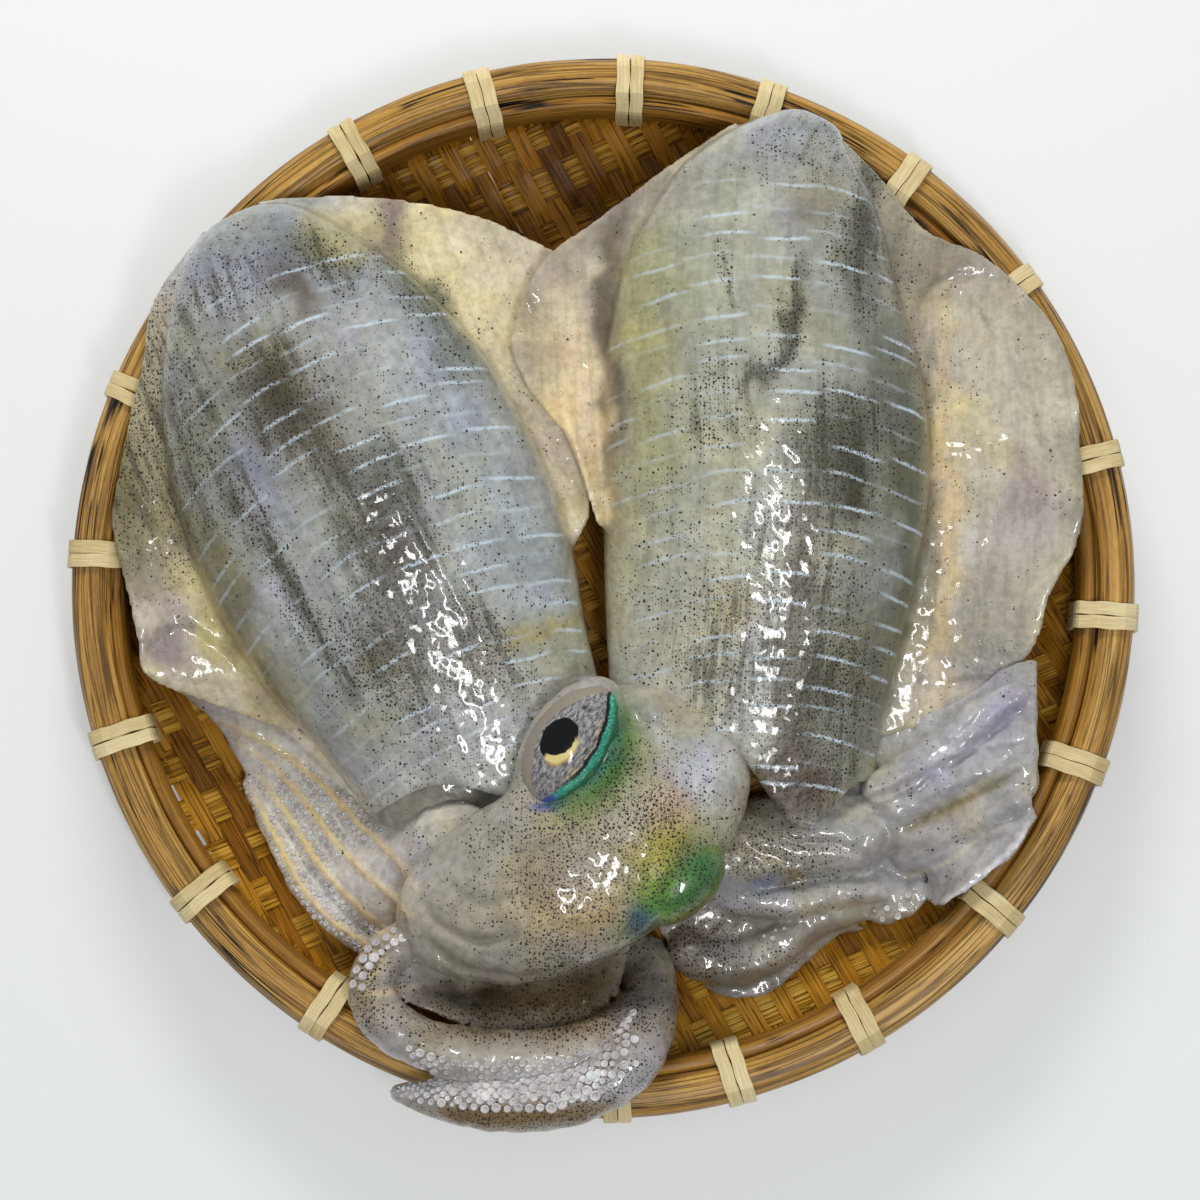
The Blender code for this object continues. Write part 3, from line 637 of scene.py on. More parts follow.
# %% Stations of the two bodies
LEFT_SQUID = {
    "name": "left_squid",
    "tail": (-103, 102),
    "heading": -64.5,
    "mouth": 165,
    "slant": -3,
    "lobe": 17,
    "lobe_at": 80,
    "stations": (
        (0, 0, 7, 36, 43),
        (4, 0, 15, 34.5, 47),
        (11, 0, 21.5, 33.6, 51),
        (28, -1, 33.5, 27, 55.5),
        (56, -1.5, 45.5, 14, 58),
        (84, -2, 50, 6, 56),
        (118, -2, 48.5, 3.2, 50),
        (149, -2, 40.5, 3.2, 42),
        (184, -2, 34, 3.2, 34),
    ),
}
RIGHT_SQUID = {
    "name": "right_squid",
    "tail": (44, 131.6),
    "heading": -90,
    "mouth": 176,
    "slant": 12,
    "lobe": 20,
    "lobe_at": 66,
    "stations": (
        (0, 9.5, 3, 37, 43),
        (4, 8, 12, 34.5, 47),
        (12, 3.5, 20.5, 33.6, 51),
        (29, 0.5, 32, 27, 55.5),
        (48, -1, 38.5, 17, 58),
        (74, 0.5, 45, 8, 57.5),
        (106, 2, 46, 3.2, 53),
        (136, 0, 43.5, 3.2, 46),
        (173, -3.5, 38, 3.2, 36),
        (202, -3.5, 36, 3.2, 29),
    ),
}
MANTLE_WALL = 3.5
MOUTH_DEPTH = 22
LOBE_WIDTH = 0.42
TOP_ROUNDNESS, BELLY_ROUNDNESS = 0.9, 0.72
MANTLE_SIDES, MANTLE_RINGS, OUTSIDE_RINGS = 96, 120, 96


def axes_of(squid):
    """The way from the tail to the mouth, and the way across to its left as it points down the tray."""
    turn = math.radians(squid["heading"])
    ahead = np.array((math.cos(turn), math.sin(turn)))
    return ahead, np.array((-ahead[1], ahead[0]))


def mantle_points(squid, along, angle, share=1.0, wall=0.0):
    """Points of a mantle at distances from the tail and angles round it."""
    ahead, right = axes_of(squid)
    shift, half_width, low, high = smooth_rows(squid["stations"], along).T
    sine = np.sin(angle)
    lift = np.sign(sine) * np.abs(sine) ** np.where(sine > 0, TOP_ROUNDNESS, BELLY_ROUNDNESS)
    across = shift + (half_width - wall) * np.cos(angle) * share
    flat = np.array(squid["tail"]) + along[:, None] * ahead + across[:, None] * right
    return np.column_stack((flat, (low + high) / 2 + ((high - low) / 2 - wall) * lift * share))


def mantle(squid):
    """The hollow-mouthed body."""

    def shaping(places):
        ring, angle = rings_of(places, MANTLE_RINGS)
        off_lobe = np.angle(np.exp(1j * (angle - math.radians(squid["lobe_at"]))))
        lobe = squid["lobe"] * np.exp(-((off_lobe / LOBE_WIDTH) ** 2))
        edge = squid["mouth"] + squid["slant"] * np.cos(angle) + lobe
        inside = ring > OUTSIDE_RINGS
        depth = np.clip((ring - OUTSIDE_RINGS - 1) / (MANTLE_RINGS - OUTSIDE_RINGS - 2), 0, 1)
        # Rings crowd towards the tail, where the body rounds off quickly.
        outer = edge * (ring / OUTSIDE_RINGS).clip(0, 1) ** 1.35
        along = np.where(inside, edge - MOUTH_DEPTH * depth, outer)
        closed = (ring == 0) | (ring == MANTLE_RINGS)
        along[ring == MANTLE_RINGS] = squid["mouth"] - MOUTH_DEPTH
        wall = np.where(inside, MANTLE_WALL, 0.0)
        return rest_on_tray(mantle_points(squid, along, angle, np.where(closed, 0, 1), wall)) * MM

    return reshape(ball(MANTLE_SIDES, MANTLE_RINGS), shaping)


# %% [markdown]
# A fin is a long skirt of thin muscle down each side. It starts as a grid stretched between the side of
# the body and the fin's own edge, given rib by rib, sags a little in between, ripples towards the edge,
# and is thickened by a Solidify modifier that thins it outwards. The fins near the rim lie over it.

# %% Fins
# Ribs: distance from the tail, then the outer edge's x, y and height.
LEFT_OUTER_FIN = (
    (3, -112, 98.5, 36),
    (8, -126, 79, 36),
    (22, -129, 61, 35.5),
    (36, -133, 44, 35.5),
    (57, -137, 19, 35.5),
    (75, -135, 5, 35.5),
    (96, -130, -15, 35),
    (112, -127, -27, 33),
    (124, -114, -33, 26),
    (137, -89, -42, 16),
)
LEFT_INNER_FIN = (
    (3, -98, 106.5, 37),
    (12, -78, 108, 37),
    (28, -55, 107, 35),
    (42, -35, 103, 33),
    (55, -21, 97, 31),
    (72, -7, 89, 30),
    (91, 0, 75, 30),
    (115, -2, 47, 29),
    (133, -4, 18, 27),
)
RIGHT_INNER_FIN = (
    (6, 37, 128, 40),
    (13, 24, 120, 39),
    (24, 14, 113, 38.5),
    (34, -2, 101, 38),
    (48, -17, 89, 38),
    (62, -26, 68, 38),
    (82, -21, 53, 39),
    (102, -10, 39, 39),
    (121, -1, 15, 36),
)
RIGHT_OUTER_FIN = (
    (8, 67, 124, 38),
    (20, 79, 112, 37),
    (34, 91, 98, 36),
    (48, 107, 91, 36),
    (62, 124, 75, 35.5),
    (79, 132, 56, 35.5),
    (99, 134, 33, 35.5),
    (119, 133, 12, 35.5),
    (138, 125, -4, 33),
    (158, 120, -20, 30),
    (178, 104, -36, 25),
)
FIN_THICKNESS = 3.4
FIN_ROOT_SHARE = 0.8  # how far out from the middle of the body the fin's root is buried


def sheet(ribs, thickness, sag, ripple, columns=120, rows=36):
    """A skirt of skin between two edges. Each rib gives a point on both."""
    ribs = numbered(ribs)
    bm = bmesh.new()
    bmesh.ops.create_grid(bm, x_segments=columns, y_segments=rows, size=0.5)
    mesh = mesh_of(bm)
    out = np.array([vertex.co.y + 0.5 for vertex in mesh.vertices])

    def shaping(places):
        along = places[:, 0] + 0.5
        rib = smooth_rows(ribs, along)
        points = rib[:, :3] * (1 - out)[:, None] + rib[:, 3:] * out[:, None]
        waves = np.sin(along * 31 + 1.5 * np.sin(along * 9)) + 0.6 * np.sin(along * 57 + 2)
        points[:, 2] += ripple * waves * out**2 - sag * np.sin(math.pi * out)
        return rest_on_tray(points, thickness / 2) * MM

    reshape(mesh, shaping)
    obj = bpy.data.objects.new("fin_in_the_making", mesh)
    group = obj.vertex_groups.new(name="body")
    for index, share in enumerate(out):
        group.add([index], float(1 - share), "REPLACE")
    scene.collection.objects.link(obj)
    wall = obj.modifiers.new("Thickness", "SOLIDIFY")
    wall.thickness, wall.offset = thickness * MM, 0
    wall.vertex_group, wall.thickness_vertex_group = "body", 0.55
    bpy.context.view_layer.update()
    return solid_mesh(obj)


def fin(squid, angle, ribs, ripple):
    """A fin from inside the mantle's side out to its edge."""
    along = np.array([rib[0] for rib in ribs], float)
    roots = mantle_points(squid, along, np.full(len(along), angle), FIN_ROOT_SHARE)
    return sheet(np.column_stack((roots, [rib[1:] for rib in ribs])), FIN_THICKNESS, 1.5, ripple)


# %% [markdown]
# A squid's skin is not one colour. Soft clouds of olive, brown and lilac lie over a pale blue-grey body,
# and the fins are cream. Each cloud is written here as one soft oval mark in the squid's own measure, by
# distance from the tail and distance across, and kept on the points of the mesh as a colour. One mark is
# painted shade instead: a dark line in the valley where the right squid's left fin meets its body. A second
# list says where the little pigment dots crowd together.

# %% Marks on the skin
# Marks: from the tail, across, half-length, half-width, turn in degrees, strength, colour.
LEFT_TINTS = (
    (15, 0, 22, 26, 0, 0.6, "#8A929E"),
    (45, -34, 34, 20, 0, 0.7, "#828274"),
    (60, -5, 26, 14, 0, 0.7, "#7C745F"),
    (30, 7, 11, 5, 0, 0.8, "#54442C"),
    (54, -8, 13, 8, 0, 0.9, "#3E3826"),
    (72, -3, 18, 6, 0, 0.7, "#5A5138"),
    (22, 18, 15, 7, 35, 0.8, "#4E5C4C"),
    (45, 38, 32, 6, 8, 0.85, "#566250"),
    (90, 8, 11, 8, 0, 0.7, "#56645C"),
    (104, 3, 20, 7, 0, 0.95, "#3A2C1E"),
    (100, -6, 14, 4, 10, 0.7, "#4C4A3C"),
    (128, -8, 15, 11, 0, 0.8, "#52483A"),
    (140, 8, 16, 8, 0, 0.6, "#7C6E60"),
    (100, 32, 48, 13, 0, 0.85, "#AAB3B9"),
    (75, -22, 18, 6, 0, 0.6, "#8E94A4"),
    (100, -28, 34, 3, 0, 0.5, "#645646"),
    (95, -46, 38, 7, 0, 0.85, "#7E764E"),
    (150, 28, 14, 10, 0, 0.6, "#A3A07A"),
    (142, 28, 3, 15, -4, 0.6, "#B3A55C"),
    (160, -10, 14, 34, 0, 0.6, "#B9B5AC"),
    (58, -60, 44, 15, 0, 0.95, "#78734E"),
    (98, -66, 13, 14, 0, 0.85, "#BBB0A6"),
    (103, -68, 8, 5, 0, 0.8, "#8A7C82"),
    (102, -53, 26, 3.5, 4, 0.9, "#CDBE86"),
    (20, 24, 10, 9, 40, 0.8, "#A29A6A"),
    (15, 40, 5, 15, 62, 0.85, "#7F7076"),
    (35, 68, 12, 8, 30, 0.6, "#9C9288"),
)
RIGHT_TINTS = (
    (8, 8, 18, 20, 0, 0.7, "#838B99"),
    (70, -33, 66, 10, 0, 0.9, "#ABA878"),
    (40, -18, 30, 10, 0, 0.5, "#9A9C7C"),
    (60, 18, 35, 12, 0, 0.5, "#989C9C"),
    (35, 28, 28, 6, 0, 0.9, "#4E4F48"),
    (30, 14, 8, 7, 0, 0.5, "#85786A"),
    (68, 4, 21, 2.4, -24, 0.9, "#443F34"),
    (100, 22, 17, 11, 0, 0.95, "#42452F"),
    (109, 22, 5, 4, 0, 0.8, "#43321F"),
    (80, 32, 26, 5, 0, 0.7, "#666A5C"),
    (132, 9, 38, 5.5, 0, 0.85, "#5C4E38"),
    (175, 14, 22, 8, 0, 0.85, "#564C3C"),
    (158, 26, 30, 12, 0, 0.7, "#6F6D5C"),
    (190, 14, 13, 10, 0, 0.95, "#5A4538"),
    (105, 39, 80, 6, 0, 0.9, "#5C5E46"),
    (110, -15, 40, 14, 0, 0.5, "#B9BAA6"),
    (150, -20, 32, 20, 0, 0.7, "#C4C2B6"),
    (140, -9, 8, 6, 0, 0.6, "#A99C62"),
    (165, 32, 30, 8, 0, 0.6, "#7E7E72"),
    (105, 47, 74, 3, 0, 0.85, "#877A58"),
    (112, 52.5, 70, 3.5, 0, 0.95, "#DEC18C"),
    (40, 52, 18, 20, 40, 0.75, "#8E866C"),
    (55, 78, 20, 12, 0, 0.7, "#979082"),
    (85, 68, 34, 16, 0, 0.8, "#D2CAB4"),
    (108, 72, 14, 9, 0, 0.8, "#A69A92"),
    (100, 88, 60, 5, 0, 0.8, "#9C9686"),
    (155, 66, 26, 16, 0, 0.85, "#969089"),
    (90, -54, 46, 11, 0, 0.95, "#F0D6A4"),
    (60, -66, 16, 10, 0, 0.7, "#A39478"),
    (28, -40, 26, 10, -50, 0.85, "#948B83"),
    # Painted shade: a dark line in the valley where the left fin meets the body.
    (60, -42, 50, 4, -2, 0.9, "#655A46"),
)
LEFT_DOTS = (
    (20, -15, 12, 26, 0, 0.8),
    (25, 18, 14, 8, 30, 1.1),
    (45, -45, 38, 26, 0, 1.0),
    (55, -7, 20, 13, 0, 1.2),
    (78, -3, 18, 10, 0, 1.0),
    (90, 10, 14, 12, 0, 0.9),
    (106, 0, 20, 12, 0, 1.4),
    (130, -10, 20, 18, 0, 1.4),
    (140, 8, 20, 15, 0, 1.2),
    (95, -28, 38, 5, 0, 1.2),
    (45, 38, 34, 7, 8, 0.6),
    (100, 10, 60, 34, 0, 0.3),
    (165, 0, 24, 34, 0, 0.35),
)
RIGHT_DOTS = (
    (12, 10, 14, 16, 0, 0.5),
    (35, 27, 27, 7, 0, 1.1),
    (50, -10, 10, 3, 0, 0.9),
    (68, 4, 22, 4, -24, 1.2),
    (98, 20, 18, 15, 0, 1.4),
    (85, -14, 16, 12, 0, 0.7),
    (125, 10, 30, 18, 0, 1.0),
    (150, 0, 30, 28, 0, 0.9),
    (165, 18, 30, 16, 0, 1.3),
    (190, 14, 14, 12, 0, 1.2),
    (120, -28, 30, 12, 0, 0.35),
    (70, 42, 40, 6, 0, 0.4),
    (100, 52, 60, 10, 0, 0.15),
)


# Folds of the fins: a path of x and y, a depth and a width. A negative depth raises a ridge.
LEFT_FOLDS = (
    (((-57, 23), (-50, 12), (-43, 0), (-35, -16)), -0.7, 1.3),
    (((-92, 8), (-88, -4), (-80, -18), (-72, -30)), 0.7, 2.2),
    (((-128, -20), (-118, -14), (-108, -20), (-98, -30)), 1.0, 2.0),
    (((-122, 6), (-118, -6), (-108, -18)), -1.0, 2.5),
)
RIGHT_FOLDS = (
    (((112, 84), (100, 85), (91, 80), (88, 68), (87, 52)), 1.3, 1.8),
    (((96, -30), (106, -28), (118, -29)), 1.2, 1.6),
    (((-12, 56), (-9, 44), (-5, 28), (-1, 10)), -1.6, 1.6),
    (((-22, 80), (-18, 66), (-15, 52)), 0.9, 1.6),
)


def plan_of(squid, places):
    """For each point: distance from the tail, distance across, and that as a share of the half-width."""
    ahead, right = axes_of(squid)
    flat = places[:, :2] - np.array(squid["tail"])
    along = flat @ ahead
    keys = [row[0] for row in squid["stations"]]
    shift, half_width = smooth_rows(squid["stations"], np.clip(along, keys[0], keys[-1])).T[:2]
    across = flat @ right - shift
    return along, across, across / half_width


def body_mesh(squid, outer_angle, outer_ribs, inner_ribs, body_colour, fin_colour, tints, dots, folds):
    """The mantle and its two fins as one skin, with its colours and dots kept on its points."""
    outer = fin(squid, outer_angle, outer_ribs, 0.7)
    inner = fin(squid, math.pi - outer_angle, inner_ribs, 0.5)
    mesh = melt([mantle(squid), outer, inner], 1.0, 5)
    for path, depth, width in folds:
        press(mesh, path, depth, width, floor=20)
    along, across, share = plan_of(squid, places_of(mesh))
    marked_along, marked_across, _ = plan_of(squid, strayed(places_of(mesh), 14, 5))
    on_fin = eased(np.abs(share), 0.93, 1.04) * eased(along, 4, 16)
    base = np.array(paint(body_colour)) * (1 - on_fin[:, None]) + np.array(paint(fin_colour)) * on_fin[:, None]
    store(mesh, "tint", "FLOAT_COLOR", tinted(base, marked_along, marked_across, tints))
    store(mesh, "dots", "FLOAT", speckled(marked_along, marked_across, dots, 0.0))
    store(mesh, "plan", "FLOAT_VECTOR", np.column_stack((along, across, on_fin)))
    return mesh


# %% [markdown]
# The skin's finish lays four things over those soft colours: fine mottling, round pigment dots from two
# Voronoi textures that only show where the dots are thick, short pale-blue iridescent lines across the
# body, and a wet coat over a slightly uneven surface, which breaks the lights up. A little light passes
# into the flesh.

# %% Finish of the skin


def dot_plane(tree, place):
    """Flat coordinates for dots: straight down on level skin, and from the side where it is steep."""
    x, y, z = add(tree, "SeparateXYZ", {"Vector": place}).outputs
    facing = add(tree, "TexCoord").outputs["Normal"]
    facing_x, facing_y, facing_z = add(tree, "SeparateXYZ", {"Vector": facing}).outputs
    steep = sums(tree, "LESS_THAN", sums(tree, "ABSOLUTE", facing_z), 0.4)
    side = sums(tree, "SIGN", sums(tree, "MULTIPLY", facing_x, facing_y))
    level_x = sums(tree, "SUBTRACT", x, sums(tree, "MULTIPLY", sums(tree, "MULTIPLY", steep, side), y))
    level_y = sums(tree, "MULTIPLY_ADD", steep, sums(tree, "SUBTRACT", z, y), y)
    return add(tree, "CombineXYZ", {"X": level_x, "Y": level_y}).outputs[0]


def dots_over(tree, colour, plane, density, size, radius, dot_colour):
    """Round dots laid over a colour. A dot shows where its own random number is under the density."""
    inputs = {"Vector": plane, "Scale": 1 / (size * MM), "Randomness": 1.0}
    cells = add(tree, "TexVoronoi", inputs, voronoi_dimensions="2D")
    chance, swell, _ = add(tree, "SeparateColor", {"Color": cells.outputs["Color"]}).outputs
    kept = fade(tree, sums(tree, "SUBTRACT", density, chance), 0.0, 0.1)
    across = sums(tree, "MULTIPLY", cells.outputs["Distance"], fade(tree, swell, 0.0, 1.0, 1.4, 0.8))
    dot = fade(tree, across, radius, radius * 0.6)
    return over(tree, sums(tree, "MULTIPLY", kept, dot), colour, dot_colour)


def skin_finish(name, lines, dot_colour="#1F1711", wet=0.8):
    """Wet squid skin."""
    material, tree, shader = start_finish(
        name, 0.36, Coat_Weight=wet, Coat_Roughness=0.05, Subsurface_Weight=0.12, Subsurface_Scale=0.003
    )
    shader.inputs["Subsurface Radius"].default_value = (1.0, 0.7, 0.5)
    place = add(tree, "TexCoord").outputs["Object"]
    colour = add(tree, "Attribute", attribute_name="tint").outputs["Color"]
    density = add(tree, "Attribute", attribute_name="dots").outputs["Fac"]
    # Mottling: broad pale clouds, then fine dark and pale ones.
    broad = clouds(tree, place, 75, 4, 0.6)
    fine = clouds(tree, place, 420, 4, 0.65)
    mottled = over(tree, fade(tree, broad, 0.45, 0.75, 0.0, 0.35), colour, "#FFFFFF", "OVERLAY")
    mottled = over(tree, fade(tree, broad, 0.5, 0.25, 0.0, 0.25), mottled, "#8A8672", "MULTIPLY")
    tinge = clouds(tree, place, 42, 2)
    mottled = over(tree, fade(tree, tinge, 0.52, 0.66, 0.0, 0.35), mottled, "#B9B7D4", "OVERLAY")
    mottled = over(tree, fade(tree, tinge, 0.48, 0.34, 0.0, 0.35), mottled, "#C9C096", "OVERLAY")
    mottled = over(tree, fade(tree, fine, 0.6, 0.36, 0.0, 0.22), mottled, "#5B5850", "MULTIPLY")
    if lines:
        mottled = muscle_streaks(tree, mottled, density)
        mottled = iridescent_lines(tree, mottled)
    patchy = sums(tree, "SUBTRACT", clouds(tree, place, 160, 4, 0.6), 0.5)
    dense = sums(tree, "MULTIPLY_ADD", patchy, 1.4, density)
    plane = dot_plane(tree, place)
    mottled = dots_over(tree, mottled, plane, sums(tree, "MULTIPLY", dense, 0.8), 0.8, 0.3, "#40352A")
    mottled = dots_over(tree, mottled, plane, sums(tree, "MULTIPLY", dense, 0.75), 1.25, 0.29, dot_colour)
    tree.links.new(mottled, shader.inputs["Base Color"])
    relief = sums(tree, "MULTIPLY_ADD", clouds(tree, place, 230, 2, 0.5), 1.0, sums(tree, "MULTIPLY", fine, 0.5))
    bump(tree, shader, relief, 0.4, 0.0012)
    film = sums(tree, "MULTIPLY_ADD", fine, 0.05, clouds(tree, place, 190, 1, 0.4))
    bump(tree, shader, film, 0.65, 0.0012, "Coat Normal")
    return material


def muscle_streaks(tree, colour, density):
    """Dark smears that run the length of the body where the dots are thick."""
    plan = add(tree, "Attribute", attribute_name="plan").outputs["Vector"]
    streak = clouds(tree, plan, 1.0, 4, 0.65, stretch=(0.035, 0.32, 1))
    cover = sums(tree, "MULTIPLY", fade(tree, streak, 0.46, 0.62), fade(tree, density, 0.2, 0.9, 0.15, 0.75))
    return over(tree, cover, colour, "#45442F")


LINE_PITCH = 7.2
LINE_LENGTH = 17.0


def iridescent_lines(tree, colour):
    """Short pale-blue lines across the body, staggered, and bowed towards the tail."""
    plan = add(tree, "Attribute", attribute_name="plan").outputs["Vector"]
    along, across, on_fin = add(tree, "SeparateXYZ", {"Vector": plan}).outputs
    place = add(tree, "TexCoord").outputs["Object"]
    stray = sums(tree, "SUBTRACT", clouds(tree, place, 55, 3), 0.5)
    bowed = sums(tree, "MULTIPLY_ADD", sums(tree, "MULTIPLY", across, across), -0.0042, along)
    bowed = sums(tree, "MULTIPLY_ADD", stray, 3.5, bowed)
    row = sums(tree, "DIVIDE", bowed, LINE_PITCH)
    column = sums(tree, "DIVIDE", across, LINE_LENGTH)
    grid = add(tree, "CombineXYZ", {"X": row, "Y": column}).outputs[0]
    cells = add(tree, "TexVoronoi", {"Vector": grid, "Scale": 1.0, "Randomness": 0.5}, voronoi_dimensions="2D")
    offset = add(tree, "VectorMath", {0: grid, 1: cells.outputs["Position"]}, operation="SUBTRACT").outputs[0]
    off_row, off_column, _ = add(tree, "SeparateXYZ", {"Vector": offset}).outputs
    thin = fade(tree, sums(tree, "ABSOLUTE", off_row), 0.11, 0.015)
    short = fade(tree, sums(tree, "ABSOLUTE", off_column), 0.55, 0.15)
    chance = add(tree, "SeparateColor", {"Color": cells.outputs["Color"]}).outputs[1]
    broken = fade(tree, clouds(tree, place, 600, 2), 0.3, 0.5, 0.35, 1.0)
    cover = sums(tree, "MULTIPLY", sums(tree, "MULTIPLY", thin, short), broken)
    cover = sums(tree, "MULTIPLY", cover, fade(tree, chance, 0.05, 0.75, 0.2, 0.95))
    cover = sums(tree, "MULTIPLY", cover, fade(tree, across, -40, 20, 0.5, 1.0))
    cover = sums(tree, "MULTIPLY", cover, fade(tree, on_fin, 0.5, 0.0))
    cover = sums(tree, "MULTIPLY", cover, fade(tree, along, 12, 32))
    return over(tree, cover, colour, "#CBDCE8")


mantle_finish = skin_finish("squid_skin", lines=True)
left_body = body_mesh(
    LEFT_SQUID, math.pi, LEFT_OUTER_FIN, LEFT_INNER_FIN, "#A9ACA8", "#E6D8B6", LEFT_TINTS, LEFT_DOTS, LEFT_FOLDS
)
place_piece(
    left_body, "left_squid_body",
    ["left_squid_mantle", "left_squid_fin_outer_left", "left_squid_fin_inner_right"], mantle_finish,
)
right_body = body_mesh(
    RIGHT_SQUID, 0.0, RIGHT_OUTER_FIN, RIGHT_INNER_FIN, "#AEAFA2", "#CAC3AE", RIGHT_TINTS, RIGHT_DOTS, RIGHT_FOLDS
)
place_piece(
    right_body, "right_squid_body",
    ["right_squid_mantle", "right_squid_fin_inner_left", "right_squid_fin_outer_right"], mantle_finish,
)

# %% [markdown]
# Heads and arms are rounded bodies that run along a curve: a head is wide and low, an arm is a tapering
# cord of muscle. One helper bends a ball along stations of centre, half-width and half-height, with its
# two ends rounded off. Another presses a crease, or raises a ridge, along a path seen from above, for
# the folds of the head and the keels of the arms.

# %% Helpers for heads and arms


def along_curve(rows, sides, rings, thin_end=0.0):
    """A closed rounded body along stations of x, y, height, half-width and half-height."""
    keyed = numbered(rows)
    length = sum(math.dist(a[:3], b[:3]) for a, b in zip(rows, rows[1:]))

    def shaping(places):
        ring, angle = rings_of(places, rings)
        along = ring / rings
        x, y, z, half_width, half_height = smooth_rows(keyed, along).T
        ahead = smooth_rows(keyed, np.minimum(1, along + 0.02)) - smooth_rows(keyed, np.maximum(0, along - 0.02))
        ahead = ahead[:, :3]
        side = np.cross(ahead, (0, 0, 1))
        side /= np.linalg.norm(side, axis=1)[:, None]
        up = np.cross(side, ahead)
        up /= np.linalg.norm(up, axis=1)[:, None]
        # Within one half-width of an end the section closes like a ball.
        room = np.minimum(along, 1 - along) * length / np.maximum(half_width, 0.1)
        shut = np.sqrt(1 - (1 - np.clip(room, 0, 1)) ** 2)
        across = (half_width * shut * np.cos(angle))[:, None]
        rise = (half_height * shut * np.sin(angle))[:, None]
        return rest_on_tray(np.column_stack((x, y, z)) + side * across + up * rise) * MM

    return reshape(ball(sides, rings), shaping)


def arm(points, sides=24, rings=90):
    """An arm: stations of x, y, height and radius."""
    return along_curve([(x, y, z, radius, radius) for x, y, z, radius in points], sides, rings)


def curve_points(points, step):
    """Places every step millimetres along a smooth curve, with the other values and the way ahead."""
    keyed = numbered(points)
    fine = smooth_rows(keyed, np.linspace(0, 1, 400))
    run = np.concatenate(([0], np.cumsum(np.linalg.norm(np.diff(fine[:, :3], axis=0), axis=1))))
    share = np.interp(np.arange(step / 2, run[-1], step), run, np.linspace(0, 1, 400))
    here = smooth_rows(keyed, share)
    ahead = smooth_rows(keyed, np.minimum(1, share + 0.01)) - smooth_rows(keyed, np.maximum(0, share - 0.01))
    return here, ahead[:, :3] / np.linalg.norm(ahead[:, :3], axis=1)[:, None]


def roughen(mesh, size, depth, seed=0.0):
    """Push a mesh's points in and out by soft noise of a size, both in millimetres."""
    offset = Vector((seed, seed * 2, seed * 3))
    moves = [vertex.normal * noise.noise(vertex.co / (size * MM) + offset) * depth * MM for vertex in mesh.vertices]
    for vertex, move in zip(mesh.vertices, moves):
        vertex.co += move


# %% [markdown]
# The head on top belongs to the right squid and is bent over to the left. Its arms lie in a bundle up
# the left side of the tray, and two long ones curl along the near rim and over it. The other squid's
# head is under the lobe, and its arms fan out to the right.

# %% Stations of the heads and arms
# Head stations: centre x, y and height, then half-width and half-height.
LEFT_HEAD = (
    (-33, -50, 17, 9, 8),
    (-24, -62, 16, 12, 10),
    (-4, -74, 14, 14, 10.3),
    (18, -79, 14, 14, 10),
    (40, -75, 14.5, 13.5, 10),
    (58, -71.5, 15, 13, 10),
    (74, -70, 16, 11, 8.5),
    (84, -69, 17, 5, 5),
)
LEFT_NECK = (
    (-52, -34, 20, 18, 12),
    (-46, -48, 19, 25, 13),
    (-40, -62, 16.5, 22, 12),
    (-35, -74, 14, 16, 10),
    (-32, -82, 13, 9, 7),
)
RIGHT_HEAD = (
    (37, -42, 24, 9, 9),
    (27, -52, 29, 18, 12),
    (17, -60, 34, 25, 14),
    (6, -67, 41, 29, 15),
    (-13, -82, 42, 26.5, 15),
    (-30, -89, 40, 24, 13.5),
    (-47, -93.5, 36, 16, 11),
    (-56, -95, 32, 6, 6),
)
# Arm points: centre x, y and height, then radius.
RIGHT_ARMS = (
    (
        (-50, -87, 28, 5),
        (-59, -77, 20, 4.8),
        (-69, -68, 14, 4.5),
        (-79, -58, 11.5, 4.2),
        (-90, -49, 10.5, 3.8),
        (-101, -42.5, 10.5, 3.2),
        (-111, -38, 11, 2),
    ),
    (
        (-52, -94, 26, 5),
        (-59, -88, 19, 5),
        (-68, -81, 14, 4.8),
        (-76, -73, 12, 4.6),
        (-83, -64, 11, 4.3),
        (-90, -56, 10.5, 3.8),
        (-98, -49, 10, 3),
        (-105, -44.5, 10, 2),
    ),
    (
        (-54, -101, 24, 5),
        (-62, -97, 17, 4.8),
        (-72, -89, 13, 4.6),
        (-81, -79, 11.5, 4.4),
        (-88, -68, 11, 4),
        (-95, -58.5, 10.5, 3.2),
        (-101, -51, 10, 2),
    ),
    (
        (-60, -105, 21, 4.4),
        (-67, -101.5, 15, 4.2),
        (-77, -95, 13.5, 4),
        (-86, -85, 12.5, 3.8),
        (-92, -74, 11.5, 3.4),
        (-98, -63, 10.5, 2.8),
        (-102, -55, 10, 1.8),
    ),
    (
        (-52, -99, 34, 6),
        (-60, -104, 35, 6.3),
        (-64, -112, 38, 6.6),
        (-60, -121, 41, 7),
        (-50, -127.5, 41.5, 7),
        (-34, -130.5, 41.5, 7),
        (-17, -130.5, 41, 6.6),
        (-3, -127, 39, 6),
        (5, -121, 34, 4.6),
        (8, -115, 28, 2.5),
    ),
    (
        (8, -100, 14, 7),
        (12, -110, 17, 8),
        (13, -121, 28, 8),
        (8, -132, 41, 8),
        (-2, -139.5, 42, 8),
        (-14, -143, 42, 8),
        (-30, -144, 41.5, 7.6),
        (-44, -143, 40, 6),
        (-59, -141, 37, 2),
    ),
)
